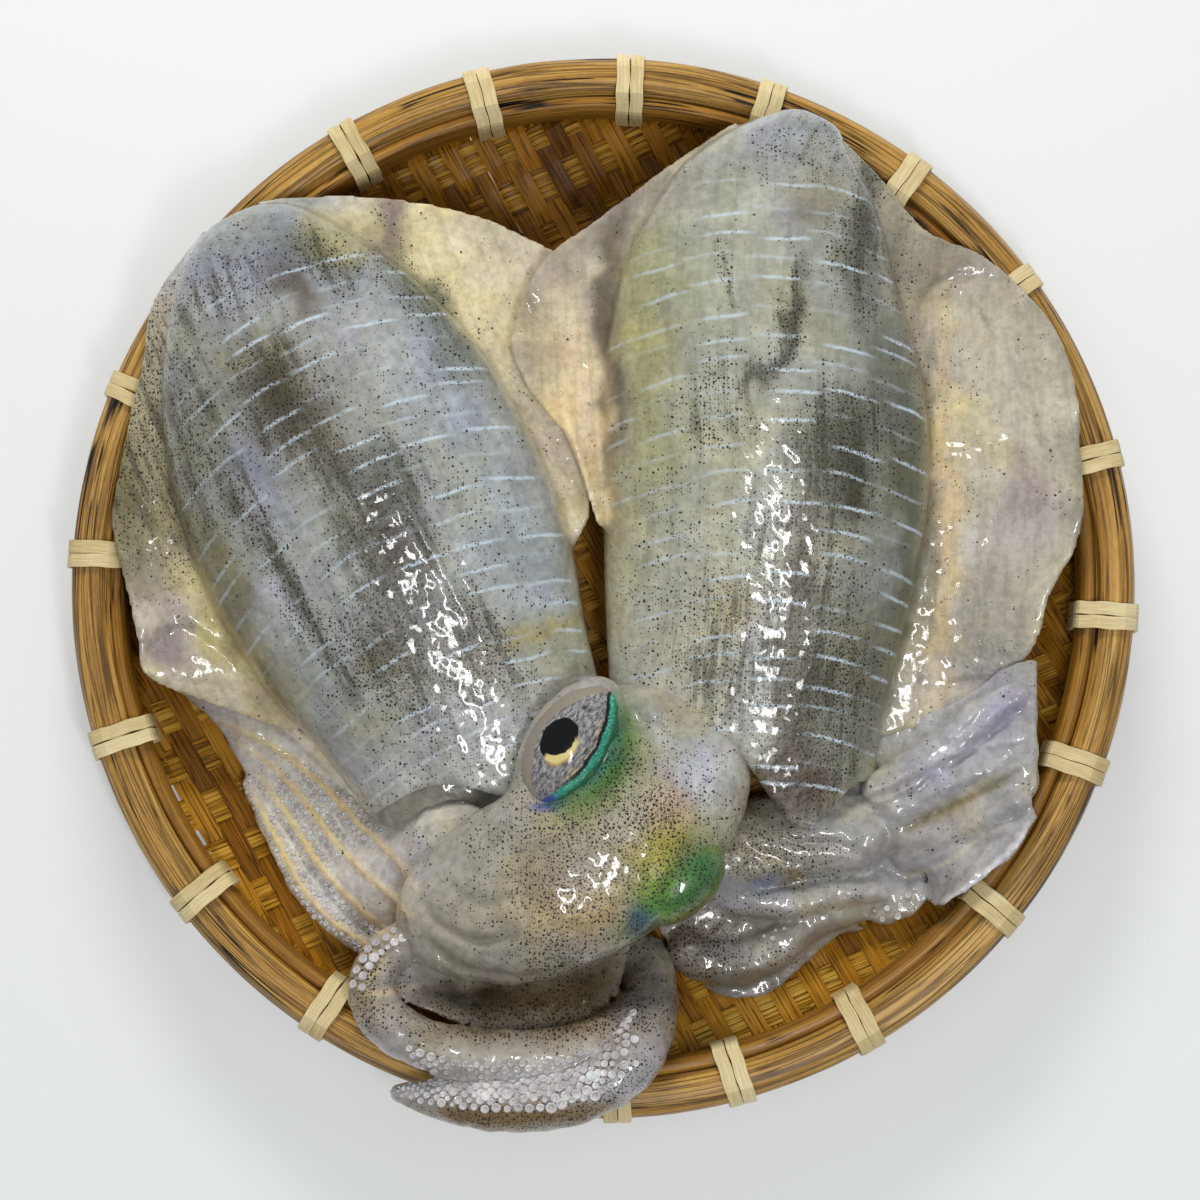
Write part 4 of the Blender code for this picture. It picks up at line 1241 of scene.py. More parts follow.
LEFT_ARMS = (
    (
        (32, -88, 14, 4.5),
        (44, -89.5, 15, 5),
        (55, -89.5, 15, 5),
        (67, -87, 15, 4.5),
        (78, -87, 14.5, 3.6),
        (86, -88, 14, 1.8),
    ),
    (
        (20, -99, 11, 6),
        (27, -106, 10.8, 6.4),
        (38, -107.5, 11, 6.4),
        (48, -103.5, 11.5, 6),
        (57, -97, 12, 5),
        (67, -94, 12, 4),
        (76, -93, 12, 2),
    ),
    ((74, -61, 20, 5.5), (84, -55, 23, 5.8), (95, -47, 27, 5.6), (107, -37, 31, 5), (119, -30, 34, 3)),
    ((78, -67, 19, 5.5), (92, -60, 22, 5.8), (106, -51, 28, 5.4), (119, -41, 34, 3.5)),
    ((80, -72, 18, 5), (94, -68, 21.5, 5.4), (107, -60, 29, 5), (119, -51, 37, 3.4)),
    ((82, -77.5, 16, 4.6), (94, -75, 20, 5), (106, -68, 30, 4.6), (117, -60, 38.5, 3)),
    (
        (89, -83, 15, 3),
        (89.5, -87, 14.5, 3.3),
        (86, -91, 14, 3.4),
        (80.5, -93.5, 13.5, 3),
        (75, -94, 13, 1.8),
    ),
)
# Web ribs: inner edge x, y and height, then outer edge x, y and height.
LOWER_WEB = (
    (24, -107, 9, 29, -115, 9),
    (34, -110, 9, 37, -118, 10),
    (45, -108, 9, 48, -116, 10.5),
    (53, -103, 10, 58, -108, 9.5),
    (61, -98.5, 10, 66, -101, 9),
    (70, -95.5, 11, 75, -98, 9.5),
)
INNER_WEB = (
    (13, -90, 11, 16, -100, 11),
    (24, -90, 11, 27, -106, 10.5),
    (36, -90, 12, 38, -107, 10.5),
    (48, -90, 12.5, 48, -103, 11),
    (58, -90, 12.5, 57, -97, 11.5),
    (68, -88, 13, 67, -94, 12),
)
UPPER_WEB = (
    (92, -76, 20, 92, -91, 17),
    (99, -72, 24, 100, -87, 33),
    (106, -69, 30, 108, -81, 36),
    (112, -64, 34.5, 114, -75.5, 38),
    (117, -58, 37.5, 120, -66, 38.5),
)
FAN_WEB = (
    (66, -84, 12, 66, -38, 15),
    (78, -84, 13, 78, -40, 18),
    (90, -83, 15, 90, -37, 22),
    (102, -77, 24, 102, -32, 25),
    (112, -69, 34, 113, -24, 29),
    (120, -58, 37.5, 121, -22, 33),
)
HEAD_WEB = (
    (-57, -98, 28, -61, -112, 34),
    (-44, -104, 28, -52, -118, 36),
    (-30, -108, 27, -36, -123.5, 37),
    (-15, -109, 26, -18, -124, 37),
    (0, -105, 25, -3, -121, 34),
    (9, -99, 24, 5, -113, 28),
)
BUNDLE_WEB = (
    (-52, -70, 17, -56, -104, 15),
    (-63, -62, 14, -72, -97, 11),
    (-75, -50, 14, -87, -82, 10),
    (-86, -41, 15, -97, -64, 10),
    (-97, -33, 17, -104, -51, 11),
    (-112, -26, 20, -112, -38, 14),
    (-124, -24, 24, -121, -31, 18),
)
WEB_THICKNESS = 2.2
SHOULDER = (
    (-26, -80, 34, 20, 10),
    (-38, -80, 30, 19, 10),
    (-50, -82, 24, 19, 9),
    (-62, -79, 16, 17, 8),
    (-74, -70, 11, 14, 5),
)
UNDER_RIM = ((13, -38, 30), (19, 9, 10), -8)

# %% [markdown]
# Head and arms are melted into one skin for each squid, then creased and wrinkled: folds at the base of
# the arms, a keel along four of the right squid's arms, and the fine puckers of wet skin. The colours and
# dots are soft marks again, now placed by x and y on the tray.

# %% Heads, arms and webs
# Marks: x, y, half-length, half-width, turn in degrees, strength, colour.
HEAD_TINTS = (
    (-38, -74, 24, 12, 0, 0.8, "#98978F"),
    (-42, -96, 18, 12, 0, 0.6, "#9C9484"),
    (-5, -80, 24, 22, 0, 0.6, "#A59B80"),
    (-6, -92, 12, 7, 20, 0.8, "#BBA06A"),
    (-14, -84, 8, 7, 0, 0.5, "#9A8474"),
    (19, -62, 6, 8, 0, 0.8, "#BC9878"),
    (14, -54, 10, 10, 0, 0.5, "#ADA684"),
    # Painted highlight: a pale patch on the collar where it catches the light.
    (27, -52, 9, 9, 0, 0.95, "#C2C7CB"),
    (33, -62, 4, 14, 10, 0.7, "#B2B3AC"),
    (14, -41, 12, 5, -35, 0.7, "#ACAFAC"),
    (17, -76, 13, 8, 20, 0.95, "#B8AC44"),
    (15, -85, 9, 5, 30, 0.9, "#8CA838"),
    (27, -80, 9, 9, -50, 0.95, "#2F7044"),
    (16, -90, 12, 5, 35, 0.95, "#4C8A28"),
    (24, -86, 9, 5, 40, 0.9, "#2C6C34"),
    (9.5, -94, 3.5, 4.5, 20, 0.8, "#2E5A80"),
    (22, -97, 14, 3.0, 38, 0.95, "#0E302C"),
    (-15, -62.5, 5, 2.4, 10, 0.95, "#3F539C"),
    (8, -42, 3, 6, -10, 0.7, "#8CA058"),
    # Painted shade over the skin's own brown: the hollow between the head's lower edge and the long arm below.
    (-14, -117, 46, 8, 0, 1.0, "#66583E"),
    (-38, -116, 14, 3.5, 0, 0.95, "#2A2012"),
    (2, -113, 15, 8, 20, 0.9, "#5E5038"),
    (-18, -124.5, 38, 3.5, 0, 0.85, "#7C6E54"),
    (-80, -68, 46, 28, 45, 0.95, "#E4DFD6"),
    (-62, -108, 12, 14, 0, 0.6, "#A49C98"),
    (-67, -114, 6, 10, 0, 0.7, "#8C7E62"),
    (-20, -131, 46, 7, 0, 0.6, "#9F9BA0"),
    (-22, -138, 40, 6, 0, 0.9, "#C6C4CC"),
    (-28, -147.5, 46, 4.6, 3, 1.0, "#7E6638"),
    (10, -125, 9, 16, -20, 0.5, "#97939A"),
)
HEAD_DOTS = (
    (2, -74, 34, 32, 0, 1.0),
    (13, -65, 9, 9, 0, 1.7),
    (-10, -86, 14, 9, 0, 1.5),
    (-12, -103, 14, 8, 0, 1.1),
    (20, -82, 15, 15, 0, 1.5),
    (3, -52, 9, 12, 0, 1.5),
    (-45, -78, 16, 10, 0, 0.2),
    (-60, -112, 8, 12, 0, 0.5),
    (-28, -148, 46, 4.5, 3, 1.5),
    (0, -142, 20, 8, 30, 1.1),
    (-14, -120, 42, 7, 0, 1.4),
    (-66, -114, 6, 12, 0, 1.2),
    (12, -122, 8, 16, 0, 0.35),
)
LEFT_HEAD_TINTS = (
    (45, -76, 20, 7, 0, 0.7, "#A8A08E"),
    (42, -64, 12, 6, -30, 0.8, "#6E6547"),
    (45, -85, 16, 4, 0, 0.7, "#8E949E"),
    (53, -83, 4, 2, 0, 0.8, "#85744A"),
    (45, -84.5, 4, 1.6, 0, 0.8, "#7D84A0"),
    (45, -92, 18, 4, 0, 0.7, "#B5B3B2"),
    # Painted shade: a dark band in the hollow between two arms.
    (44, -98, 20, 4, 0, 0.85, "#7E7667"),
    (26, -102, 14, 9, -30, 0.85, "#7C6E5C"),
    (42, -104, 14, 4, 0, 0.6, "#A9A8AE"),
    (38, -113, 22, 5, 0, 0.85, "#6F6B60"),
    (62, -103, 14, 6, 30, 0.7, "#807B6E"),
    (100, -52, 28, 24, 30, 0.9, "#B4B4B8"),
    # Painted shade: a dark line down one fold of the fan.
    (98, -63, 18, 2.5, 28, 0.8, "#8C825E"),
    (108, -40, 12, 5, 40, 0.7, "#A6A6BC"),
    (86, -56, 16, 4, 28, 0.5, "#A8A8B8"),
    (95, -70, 18, 6, 25, 0.5, "#A9A099"),
    (84, -84, 8, 8, 0, 0.6, "#9D9AA0"),
    (-40, -60, 22, 14, 0, 0.8, "#8A8576"),
)
LEFT_HEAD_DOTS = (
    (46, -76, 20, 8, 0, 1.3),
    (42, -66, 10, 6, 0, 0.5),
    (44, -91, 16, 4, 0, 0.6),
    (28, -102, 12, 10, -30, 1.3),
    (42, -106, 14, 4, 0, 0.6),
    (60, -84, 14, 6, 0, 0.4),
    (90, -60, 16, 12, 0, 0.1),
)
HEAD_FOLDS = (
    (((-50, -88), (-44, -95), (-34, -99), (-22, -98)), 2.0, 1.6),
    (((-49, -98), (-40, -106), (-24, -109), (-6, -107)), 2.2, 1.8),
    (((-48, -92), (-38, -97), (-26, -97)), -0.8, 1.2),
    (((-44, -83), (-34, -90), (-24, -88)), 1.2, 2.2),
    (((-30, -68), (-24, -74), (-22, -84), (-18, -94)), 0.9, 3.0),
    (((8, -36), (14, -44), (24, -50), (35, -51)), 1.4, 2.2),
    (((-26, -56), (-22, -46), (-15, -39), (-6, -33)), 1.6, 1.6),
    (((4, -101), (8, -95), (10, -89)), 1.4, 1.5),
)
LEFT_HEAD_STROKES = (
    # Painted highlight: a white stroke along the fan's lit edge.
    (((94, -90), (101, -85.5), (108, -79.5), (114, -73.5), (119, -66)), 0.9, 0.9, "#E6E4EA"),
    # Painted shade: a dark stroke down a fold.
    (((84, -70), (96, -64), (104, -60), (114, -54)), 1.0, 0.8, "#7A6F4C"),
    # Painted highlights: pale strokes beside two folds.
    (((84, -84), (94, -80), (102, -74), (110, -68)), 0.8, 0.6, "#D8CDB4"),
    (((66, -60), (78, -58), (98, -48), (118, -44)), 0.8, 0.6, "#D4D2DE"),
)
LEFT_HEAD_FOLDS = (
    (((36, -82), (46, -86), (60, -83), (76, -84)), 1.6, 1.8),
    (((38, -66), (52, -73), (66, -74), (80, -80)), 1.2, 1.4),
    (((36, -72), (50, -78), (64, -80)), 0.8, 1.2),
    (((66, -62), (78, -60), (98, -50), (119, -46)), 1.2, 1.3),
    (((92, -51), (100, -43), (107, -36), (114, -29)), 1.0, 1.3),
    (((84, -70), (96, -64), (104, -60), (116, -53)), 1.3, 1.2),
    (((84, -81), (98, -73.5), (108, -69), (119, -63)), 1.2, 1.2),
    (((78, -66), (92, -59), (104, -54), (118, -50)), -0.9, 1.8),
    (((82, -76), (98, -69), (110, -63), (118, -58)), -0.9, 1.8),
    (((86, -47), (96, -39), (106, -31)), -0.7, 2.0),
)


# Strokes: a path of x and y, a width, a strength and a colour.
HEAD_STROKES = [
    *(([place[:2] for place in points], 1.2, 0.9, "#E6C98C") for points in RIGHT_ARMS[:4]),
    (((-118, -28), (-104, -34), (-88, -42), (-74, -54)), 1.0, 0.8, "#DCC7A0"),
    # Painted shade: a dark stroke in the crease between two arms of the bundle.
    (((-112, -31), (-98, -38), (-84, -48), (-68, -66)), 0.8, 0.6, "#8C857C"),
    (((-58, -104), (-66, -112), (-60, -114), (-50, -112)), 0.9, 0.7, "#CDBB92"),
    (((3, -31), (8, -41), (8, -49), (4, -57), (-4, -64), (-14, -66)), 4.5, 0.75, "#8A9462"),
    (((2, -31), (5.5, -41), (5, -49), (1, -56), (-7, -61.5), (-15, -64)), 3.6, 0.95, "#40722C"),
    (((1.5, -31), (3.5, -41), (2, -49), (-3, -55), (-10, -59.5), (-17, -63)), 1.9, 0.9, "#2A7C66"),
    # Painted shade: dark strokes down the two deepest folds at the base of the arms.
    (((-48, -98), (-40, -106), (-24, -109), (-6, -107)), 1.2, 0.5, "#7B7264"),
    (((-50, -88), (-44, -95), (-34, -99), (-22, -98)), 1.2, 0.5, "#7B7264"),
    (((6, -97), (13, -96.5), (21, -94), (29.5, -88), (33, -81)), 2.0, 0.9, "#12363C"),
]


def oval(centre, radii, turn):
    """A closed oval body, turned in the ground plane."""
    cos, sin = math.cos(math.radians(turn)), math.sin(math.radians(turn))

    def shaping(places):
        x, y, z = (places * np.array(radii)).T
        return (np.column_stack((x * cos - y * sin, x * sin + y * cos, z)) + np.array(centre)) * MM

    return reshape(ball(48, 32), shaping)


def keeled(mesh, arms, height, width):
    """Raise a keel along the middle of each arm."""
    for points in arms:
        press(mesh, [point[:2] for point in points], -height, width, floor=float(np.mean([p[2] for p in points])))


def skin_of(mesh, base, tints, dots, least, strokes=()):
    """Keep a skin's colours and dots on its points, by x and y."""
    places, moved = places_of(mesh), strayed(places_of(mesh), 9, 2)
    colours = np.tile(np.array(paint(base)), (len(places), 1))
    colours = tinted(colours, moved[:, 0], moved[:, 1], tints)
    for path, width, strength, colour in strokes:
        cover = (along_path(places, path, width) * strength)[:, None]
        colours = colours * (1 - cover) + np.array(paint(colour)) * cover
    store(mesh, "tint", "FLOAT_COLOR", colours)
    store(mesh, "dots", "FLOAT", speckled(moved[:, 0], moved[:, 1], dots, least))


EYE_CENTRE, EYE_TURN = (-9.0, -46.5, 43.8), 57.0
EYE_RADII = (19.5, 11.5, 11.5)
LID_SLOPE = 0.55
LOWER_EYE = ((20.5, -84.0, 40.5), (14.5, 9.5, 11.0), 38.0)

def eye_plan(mesh):
    """For each point: millimetres along the open eye and across it, from its middle, and up."""
    places = places_of(mesh) - np.array(EYE_CENTRE)
    cos, sin = math.cos(math.radians(EYE_TURN)), math.sin(math.radians(EYE_TURN))
    along = places[:, 0] * cos + places[:, 1] * sin
    across = places[:, 1] * cos - places[:, 0] * sin
    return np.column_stack((along, across, places[:, 2]))


def open_socket(mesh):
    """Draw the skin back round the open eye, and let it rise gently again away from the lids."""
    along, across, height = eye_plan(mesh).T
    long, wide, tall = EYE_RADII
    lower = -9.3 * (1 - (along / 21) ** 2) - across
    upper = across - 8.6 * (1 - ((along + 3) / 20) ** 2)
    outside = np.maximum(np.maximum(lower, upper), np.abs(along) - 18.5)
    eye_surface = tall * np.sqrt(np.clip(1 - (along / long) ** 2 - (across / wide) ** 2, 0.3, 1))
    limit = eye_surface - 0.8 + LID_SLOPE * np.maximum(outside, 0)
    near = (outside < 12) & (height > -6)
    places = places_of(mesh)
    places[:, 2] -= np.where(near, np.maximum(height - limit, 0), 0)
    mesh.vertices.foreach_set("co", (places * MM).ravel())


arm_finish = skin_finish("squid_head_skin", lines=False, wet=0.9)
head_parts = [along_curve(RIGHT_HEAD, 64, 90), sheet(HEAD_WEB, WEB_THICKNESS, 0, 0.3, 60, 20)]
head_parts += [sheet(BUNDLE_WEB, 4.0, 0, 0.9, 80, 40), oval(EYE_CENTRE, (21.5, 12.5, 8), EYE_TURN)]
head_parts += [along_curve(SHOULDER, 48, 60), oval(*UNDER_RIM), oval(*LOWER_EYE)] + [arm(points) for points in RIGHT_ARMS]
head = melt(head_parts, 0.85, 6)
keeled(head, RIGHT_ARMS[:4], 1.0, 0.9)
for path, depth, width in HEAD_FOLDS:
    press(head, path, depth, width, floor=24)
open_socket(head)
roughen(head, 5, 0.5)
roughen(head, 2.2, 0.2, 5)
skin_of(head, "#A5A094", HEAD_TINTS, HEAD_DOTS, 0.02, HEAD_STROKES)
right_head_nodes = ["right_squid_head", "right_squid_web"] + [f"right_squid_arm_{n}" for n in range(1, 7)]
place_piece(head, "right_squid_head_and_arms", right_head_nodes, arm_finish)

head_parts = [along_curve(LEFT_HEAD, 48, 90), along_curve(LEFT_NECK, 48, 60)]
head_parts += [sheet(LOWER_WEB, WEB_THICKNESS, 0, 0.5, 60, 20), sheet(UPPER_WEB, WEB_THICKNESS, 0, 0.7, 60, 20)]
head_parts += [sheet(INNER_WEB, 3.0, 0, 0.3, 60, 20), oval((80, -86, 13.5), (12, 6, 3.5), -25)]
head_parts += [sheet(FAN_WEB, 4.0, 0, 0.5, 60, 40)] + [arm(points) for points in LEFT_ARMS]
head = melt(head_parts, 0.85, 6)
for path, depth, width in LEFT_HEAD_FOLDS:
    press(head, path, depth, width)
roughen(head, 5, 0.6, 9)
roughen(head, 2.2, 0.25, 14)
skin_of(head, "#A3A09C", LEFT_HEAD_TINTS, LEFT_HEAD_DOTS, 0.0, LEFT_HEAD_STROKES)
left_head_nodes = ["left_squid_head", "left_squid_web_lower", "left_squid_web_upper"]
left_head_nodes += [f"left_squid_arm_{n}" for n in range(1, 8)]
place_piece(head, "left_squid_head_and_arms", left_head_nodes, arm_finish)

# %% [markdown]
# Suckers stand in two rows along the inner side of every arm. Each is a little cup on a short stalk, and
# there are hundreds, so one cup has only a few dozen faces: a cylinder whose top is inset and sunk. They
# shrink towards the tip, and lean a little to either side.

# %% Suckers
# Rows: arm, first and last share of its length, spacing, two sideways places by turns, and radius. The
# places and the radius are shares of the arm's own radius.
RIGHT_SUCKERS = (
    *((which, 0.1, 0.98, 1.25, (0.3, 0.55), 0.18) for which in range(4)),
    *((which, 0.1, 0.98, 1.25, (-0.6, -0.35), 0.18) for which in range(4)),
    (4, 0.0, 0.2, 1.3, (0.2, 0.6), 0.2),
    (4, 0.35, 0.9, 1.5, (0.28, 0.48), 0.15),
    (4, 0.38, 0.88, 1.5, (0.66, 0.82), 0.14),
    (5, 0.4, 0.98, 1.45, (-0.08, 0.16), 0.16),
    (5, 0.38, 0.97, 1.45, (0.36, 0.52), 0.155),
    (5, 0.3, 0.96, 1.45, (0.68, 0.82), 0.145),
)


def sucker(bm, radius):
    """A cup, standing up from the origin. Returns its points."""
    made = bmesh.ops.create_cone(
        bm, cap_ends=True, segments=10, radius1=radius * 0.7, radius2=radius, depth=radius * 1.1
    )["verts"]
    bmesh.ops.translate(bm, verts=made, vec=(0, 0, radius * 0.3))
    top = max((face for vertex in made for face in vertex.link_faces), key=lambda face: face.calc_center_median().z)
    bmesh.ops.inset_individual(bm, faces=[top], thickness=radius * 0.32, depth=0)
    sunk = list(top.verts)
    bmesh.ops.inset_individual(bm, faces=[top], thickness=radius * 0.25, depth=-radius * 0.3)
    return list({*made, *sunk, *top.verts})


def sucker_rows(arms, rows):
    """All the suckers of one squid's arms, in one mesh."""
    bm = bmesh.new()
    for which, first, last, spacing, aside, size in rows:
        here, ahead = curve_points(arms[which], spacing)
        for number, (place, way) in enumerate(zip(here, ahead)):
            if not first <= (number + 0.5) / len(here) <= last:
                continue
            x, y, z, radius = place
            side = Vector(way).cross(Vector((0, 0, 1))).normalized()
            up = side.cross(Vector(way)).normalized()
            lean = aside[number % 2] + rng.normal(0, 0.04)
            out = (side * lean + up * math.sqrt(max(0.05, 1 - lean * lean))).normalized()
            middle = rest_on_tray(np.array([[x, y, z]]), 0)[0]
            spot = (Vector(middle) + out * radius * 0.97) * MM
            cup = sucker(bm, max(0.45, radius * size) * max(0.6, rng.normal(0.95, 0.15)) * MM)
            turn = out.to_track_quat("Z", "Y").to_matrix().to_4x4()
            bmesh.ops.transform(bm, verts=cup, matrix=Matrix.Translation(spot) @ turn)
    return mesh_of(bm)


def sucker_finish():
    """Pearly, very wet, slightly see-through flesh."""
    material, tree, shader = start_finish(
        "sucker_flesh", 0.25, Coat_Weight=1.0, Coat_Roughness=0.12, Subsurface_Weight=0.2, Subsurface_Scale=0.002
    )
    place = add(tree, "TexCoord").outputs["Object"]
    tone = clouds(tree, place, 160, 3)
    colour = ramp(tree, tone, (0.3, "#A8A4A4"), (0.5, "#C8C4C6"), (0.7, "#EAE7E6"))
    tree.links.new(colour, shader.inputs["Base Color"])
    bump(tree, shader, clouds(tree, place, 900, 2), 0.3, 0.0003)
    return material


sucker_flesh = sucker_finish()
place_piece(sucker_rows(RIGHT_ARMS, RIGHT_SUCKERS), "right_squid_suckers", right_head_nodes, sucker_flesh)
LEFT_SUCKERS = ((6, 0.1, 0.95, 2.0, (-0.4, 0.4), 0.3), (1, 0.5, 0.9, 2.2, (-0.7, -0.5), 0.12))
place_piece(sucker_rows(LEFT_ARMS, LEFT_SUCKERS), "left_squid_suckers", left_head_nodes, sucker_flesh)

# %% [markdown]
# The upper eye is a flattened ball in a socket of skin. Its pupil is a black oval with a gold crescent
# below it, the iris is crinkled silver, and a turquoise band runs along the lid. All of these are drawn
# by distance from ovals in the eye's own plane, which is kept on its points. The lower eye is shut under
# the skin and only shows as a green and yellow glow.

# %% Eyes


def oval_distance(tree, along, across, middle, radii):
    """Distance from an oval's middle, as a share of its radii."""
    u = sums(tree, "DIVIDE", sums(tree, "SUBTRACT", along, middle[0]), radii[0])
    v = sums(tree, "DIVIDE", sums(tree, "SUBTRACT", across, middle[1]), radii[1])
    return sums(tree, "SQRT", sums(tree, "MULTIPLY_ADD", u, u, sums(tree, "MULTIPLY", v, v)))


def lid_distance(tree, along, across, middle, half, depth):
    """Millimetres across the eye from a curve that bows by a depth at its middle."""
    share = sums(tree, "DIVIDE", sums(tree, "SUBTRACT", along, middle), half)
    bow = sums(tree, "MULTIPLY", sums(tree, "SUBTRACT", 1.0, sums(tree, "MULTIPLY", share, share)), depth)
    return sums(tree, "SUBTRACT", across, bow)


def eye_finish():
    """The open eye."""
    material, tree, shader = start_finish("squid_eye", 0.3, Coat_Weight=0.5, Coat_Roughness=0.04, Specular_IOR_Level=0.25)
    place = add(tree, "TexCoord").outputs["Object"]
    plan = add(tree, "Attribute", attribute_name="plan").outputs["Vector"]
    along, across, _ = add(tree, "SeparateXYZ", {"Vector": plan}).outputs
    stray = sums(tree, "SUBTRACT", clouds(tree, place, 420, 3), 0.5)
    across = sums(tree, "MULTIPLY_ADD", stray, 1.6, across)
    crinkle = clouds(tree, plan, 1.0, 5, 0.75, stretch=(0.5, 1.3, 1))
    colour = ramp(tree, crinkle, (0.36, "#36363B"), (0.46, "#76757A"), (0.57, "#A3A1A3"), (0.7, "#D2CCC0"))
    # The upper lid covers everything beyond a curve across the eye.
    from_lid = lid_distance(tree, along, across, 0.0, 17.5, 8.7)
    # Gold flecks and a dark line run along the iris's lower edge, and the turquoise band lies beyond it.
    from_edge = lid_distance(tree, along, across, 0.5, 18.5, -6.0)
    fleck = sums(tree, "MULTIPLY", fade(tree, from_edge, 3.0, 0.4), fade(tree, crinkle, 0.48, 0.6))
    fleck = sums(tree, "MULTIPLY", fleck, fade(tree, sums(tree, "ABSOLUTE", along), 13, 7))
    colour = over(tree, sums(tree, "MULTIPLY", fleck, 0.9), colour, "#D9C48C")
    streaks = clouds(tree, plan, 1.6, 4, 0.7, stretch=(2.2, 0.4, 1))
    shine = ramp(tree, streaks, (0.35, "#0E5A50"), (0.5, "#2FA48A"), (0.62, "#6FDAB8"), (0.75, "#B6F0DC"))
    shine = over(tree, fade(tree, along, -12, -15), shine, "#44589E")
    shine = over(tree, fade(tree, from_edge, -1.9, -3.2), shine, "#2C6A44")
    colour = over(tree, fade(tree, from_edge, -0.3, -0.7), colour, shine)
    line = fade(tree, sums(tree, "ABSOLUTE", sums(tree, "ADD", from_edge, 0.35)), 0.75, 0.3)
    colour = over(tree, sums(tree, "MULTIPLY", line, fade(tree, along, -12, -5)), colour, "#0C1114")
    pupil = oval_distance(tree, along, across, (-0.3, 3.3), (6.4, 4.8))
    ring = sums(tree, "MULTIPLY", fade(tree, pupil, 1.3, 1.05), fade(tree, along, 3, -4))
    colour = over(tree, sums(tree, "MULTIPLY", ring, fade(tree, across, 3.6, 1.0)), colour, "#C9AF68")
    colour = over(tree, fade(tree, pupil, 1.02, 0.96), colour, "#050609")
    inner = oval_distance(tree, along, across, (0.9, 4.2), (6.1, 4.7))
    crescent = sums(tree, "MULTIPLY", fade(tree, inner, 0.98, 1.06), fade(tree, pupil, 1.08, 1.0))
    crescent = sums(tree, "MULTIPLY", crescent, fade(tree, along, 3.5, 1.0))
    colour = over(tree, sums(tree, "MULTIPLY", crescent, fade(tree, across, 4.6, 3.2)), colour, "#DCCB86")
    colour = over(tree, fade(tree, from_lid, -0.6, 0.4), colour, "#9A9284")
    tree.links.new(colour, shader.inputs["Base Color"])
    relief = sums(tree, "MULTIPLY", crinkle, fade(tree, pupil, 0.95, 1.15))
    bump(tree, shader, relief, 0.5, 0.0012)
    return material


eye = oval(EYE_CENTRE, EYE_RADII, EYE_TURN)
store(eye, "plan", "FLOAT_VECTOR", eye_plan(eye))
place_piece(eye, "right_squid_eye_open", ["right_squid_eye_upper"], eye_finish())

centre, radii, turn = LOWER_EYE
eye = oval(centre, [radius + 0.35 for radius in radii], turn)
eye = with_modifiers(eye, ("SUBSURF", {"levels": 1, "render_levels": 1}))
skin_of(eye, "#8F9A5C", HEAD_TINTS, HEAD_DOTS, 0.6)
place_piece(eye, "right_squid_eye_shut", ["right_squid_eye_lower"], arm_finish)

# %% [markdown]
# Twenty lashings of split cane hold the hoops together, each of two turns side by side. A lashing is a
# flat band that hugs the hoops all the way round, so it starts as a circle of points laid on that
# outline, is extruded sideways into a band, is crowned a little, and is given its thickness.

# %% Lash the rim
CANE_WIDTH = 3.65 * MM
CANE_THICKNESS = 0.75 * MM
CANE_GAP = 0.28 * MM
TIE_POINTS = 56
TIE_NODES = [f"tray_tie_{number:02d}" for number in range(1, 21)]


def tie_outline(off):
    """A rounded loop of radius and height pairs round both hoops, this far off their faces."""
    corners = [
        (inner_inside, inner_low.z + 1.0 * MM),
        (inner_inside + 1.5 * MM, inner_low.z),
        (outer_high.x - 1.5 * MM, inner_low.z + 0.6 * MM),
        (outer_high.x, outer_low.z + 2 * MM),
        (outer_high.x, outer_high.z - 4 * MM),
        (outer_high.x - 1.3 * MM, outer_high.z - 1.3 * MM),
        (outer_high.x - 4 * MM, outer_high.z),
        (HOOP_GAP_RADIUS, outer_high.z - 0.2 * MM),
        (inner_inside + 2.5 * MM, inner_high.z + 0.2 * MM),
        (inner_inside + 0.5 * MM, inner_high.z - 1.0 * MM),
        (inner_inside, inner_high.z - 4 * MM),
    ]
    middle = Vector(((inner_inside + outer_high.x) / 2, (inner_low.z + outer_high.z) / 2))
    grown = []
    for corner in corners:
        away = Vector(corner) - middle
        grown.append(Vector(corner) + Vector((math.copysign(off, away.x), math.copysign(off, away.y))) * 0.8)
    return grown


def along_loop(points, share):
    """The point at a share of the way round a closed loop of corners."""
    lengths = [(b - a).length for a, b in zip(points, points[1:] + points[:1])]
    left_over = (share % 1.0) * sum(lengths)
    for start, end, length in zip(points, points[1:] + points[:1], lengths):
        if left_over <= length:
            return start.lerp(end, left_over / length)
        left_over -= length
    return points[0]


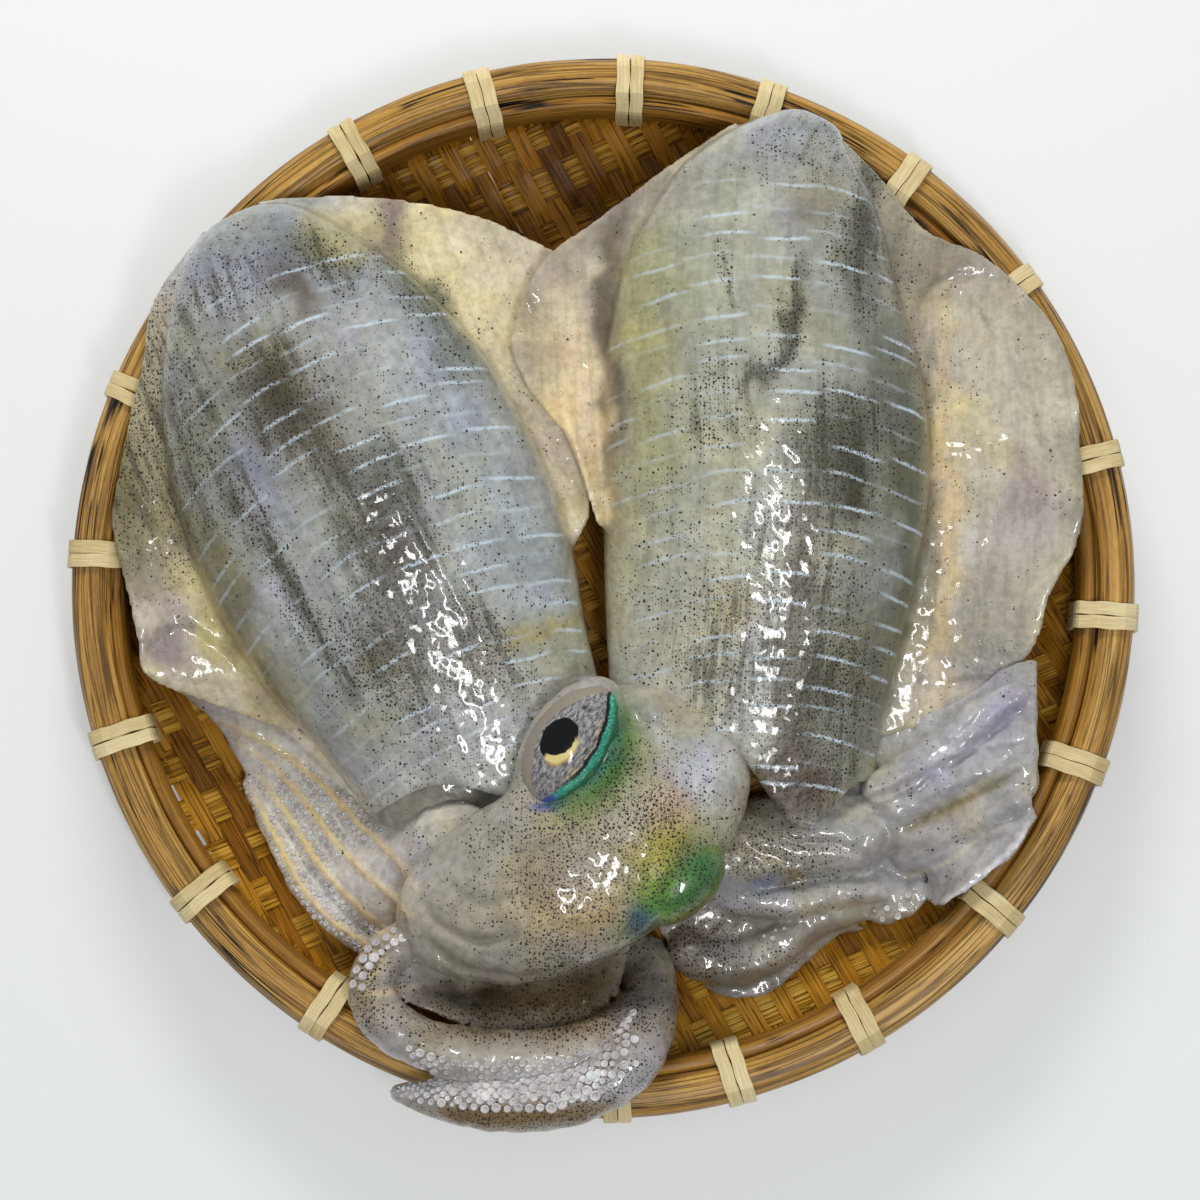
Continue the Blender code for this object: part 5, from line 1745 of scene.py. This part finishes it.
def cane_turn(bm, tone_layer, angle, sideways, skew):
    """One turn of cane round both hoops at an angle round the tray."""
    outline = tie_outline(0.45 * MM)
    made = bmesh.ops.create_circle(bm, segments=TIE_POINTS, radius=1)["verts"]
    tone = rng.random()
    for vertex in made:
        share = math.atan2(vertex.co.y, vertex.co.x) / (2 * math.pi)
        radius, height = along_loop(outline, share)
        vertex.co = (radius, 0, height)
    edges = list({edge for vertex in made for edge in vertex.link_edges})
    sides = [(-1.0, made)]
    for side in (-0.45, 0.45, 1.0):
        grown = bmesh.ops.extrude_edge_only(bm, edges=edges)["geom"]
        made = [item for item in grown if isinstance(item, bmesh.types.BMVert)]
        edges = [item for item in grown if isinstance(item, bmesh.types.BMEdge)]
        edges = [edge for edge in edges if all(vertex in made for vertex in edge.verts)]
        sides.append((side, made))
    turned = Matrix.Rotation(angle, 4, "Z")
    wobble = rng.random() * 9
    for side, row in sides:
        for vertex in row:
            radius, _, height = vertex.co
            sway = 0.12 * MM * math.sin(radius * 700 + height * 500 + wobble)
            across = sideways + side * CANE_WIDTH / 2 + sway + (radius - RIM_RADIUS) * skew
            sunk = 1 - 0.1 * MM * side * side / RIM_RADIUS
            vertex.co = turned @ Vector((radius * sunk, across, height))
            vertex[tone_layer] = tone


def cane_finish():
    """Pale split cane: fine fibres along the band, faint yellow patches, and a dry sheen."""
    material, tree, shader = start_finish("lashing_cane", 0.5, Coat_Weight=0.08, Coat_Roughness=0.4)
    place = add(tree, "TexCoord").outputs["Object"]
    x, y, z = add(tree, "SeparateXYZ", {"Vector": place}).outputs
    radius = sums(tree, "SQRT", sums(tree, "MULTIPLY_ADD", x, x, sums(tree, "MULTIPLY", y, y)))
    turn = sums(tree, "ARCTAN2", y, x)
    banded = add(tree, "CombineXYZ", {"X": radius, "Y": z, "Z": turn}).outputs[0]
    fibres = clouds(tree, banded, 1.0, 4, 0.6, stretch=(130, 130, 420))
    tone = add(tree, "Attribute", attribute_name="tone").outputs["Fac"]
    level = sums(tree, "MULTIPLY_ADD", fibres, 0.6, sums(tree, "MULTIPLY", tone, 0.15))
    level = sums(tree, "MULTIPLY_ADD", clouds(tree, place, 90, 3), 0.35, level)
    colour = ramp(tree, level, (0.3, "#A98F5E"), (0.5, "#CDB884"), (0.65, "#E2D1A2"), (0.85, "#EFE3BE"))
    tree.links.new(colour, shader.inputs["Base Color"])
    bump(tree, shader, fibres, 0.5, 0.0002)
    return material


bm = bmesh.new()
tone_layer = bm.verts.layers.float.new("tone")
for node in TIE_NODES:
    low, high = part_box(node)
    angle = math.atan2((low.y + high.y) / 2, (low.x + high.x) / 2)
    skew = rng.normal(0, 0.03)
    for sideways in (-0.5, 0.5):
        cane_turn(bm, tone_layer, angle, sideways * (CANE_WIDTH + CANE_GAP), skew + rng.normal(0, 0.006))
bmesh.ops.recalc_face_normals(bm, faces=bm.faces)
mesh = with_modifiers(mesh_of(bm), ("SOLIDIFY", {"thickness": CANE_THICKNESS, "offset": 0.6}))
place_piece(mesh, "tray_lashings", TIE_NODES, cane_finish(), smooth=False)
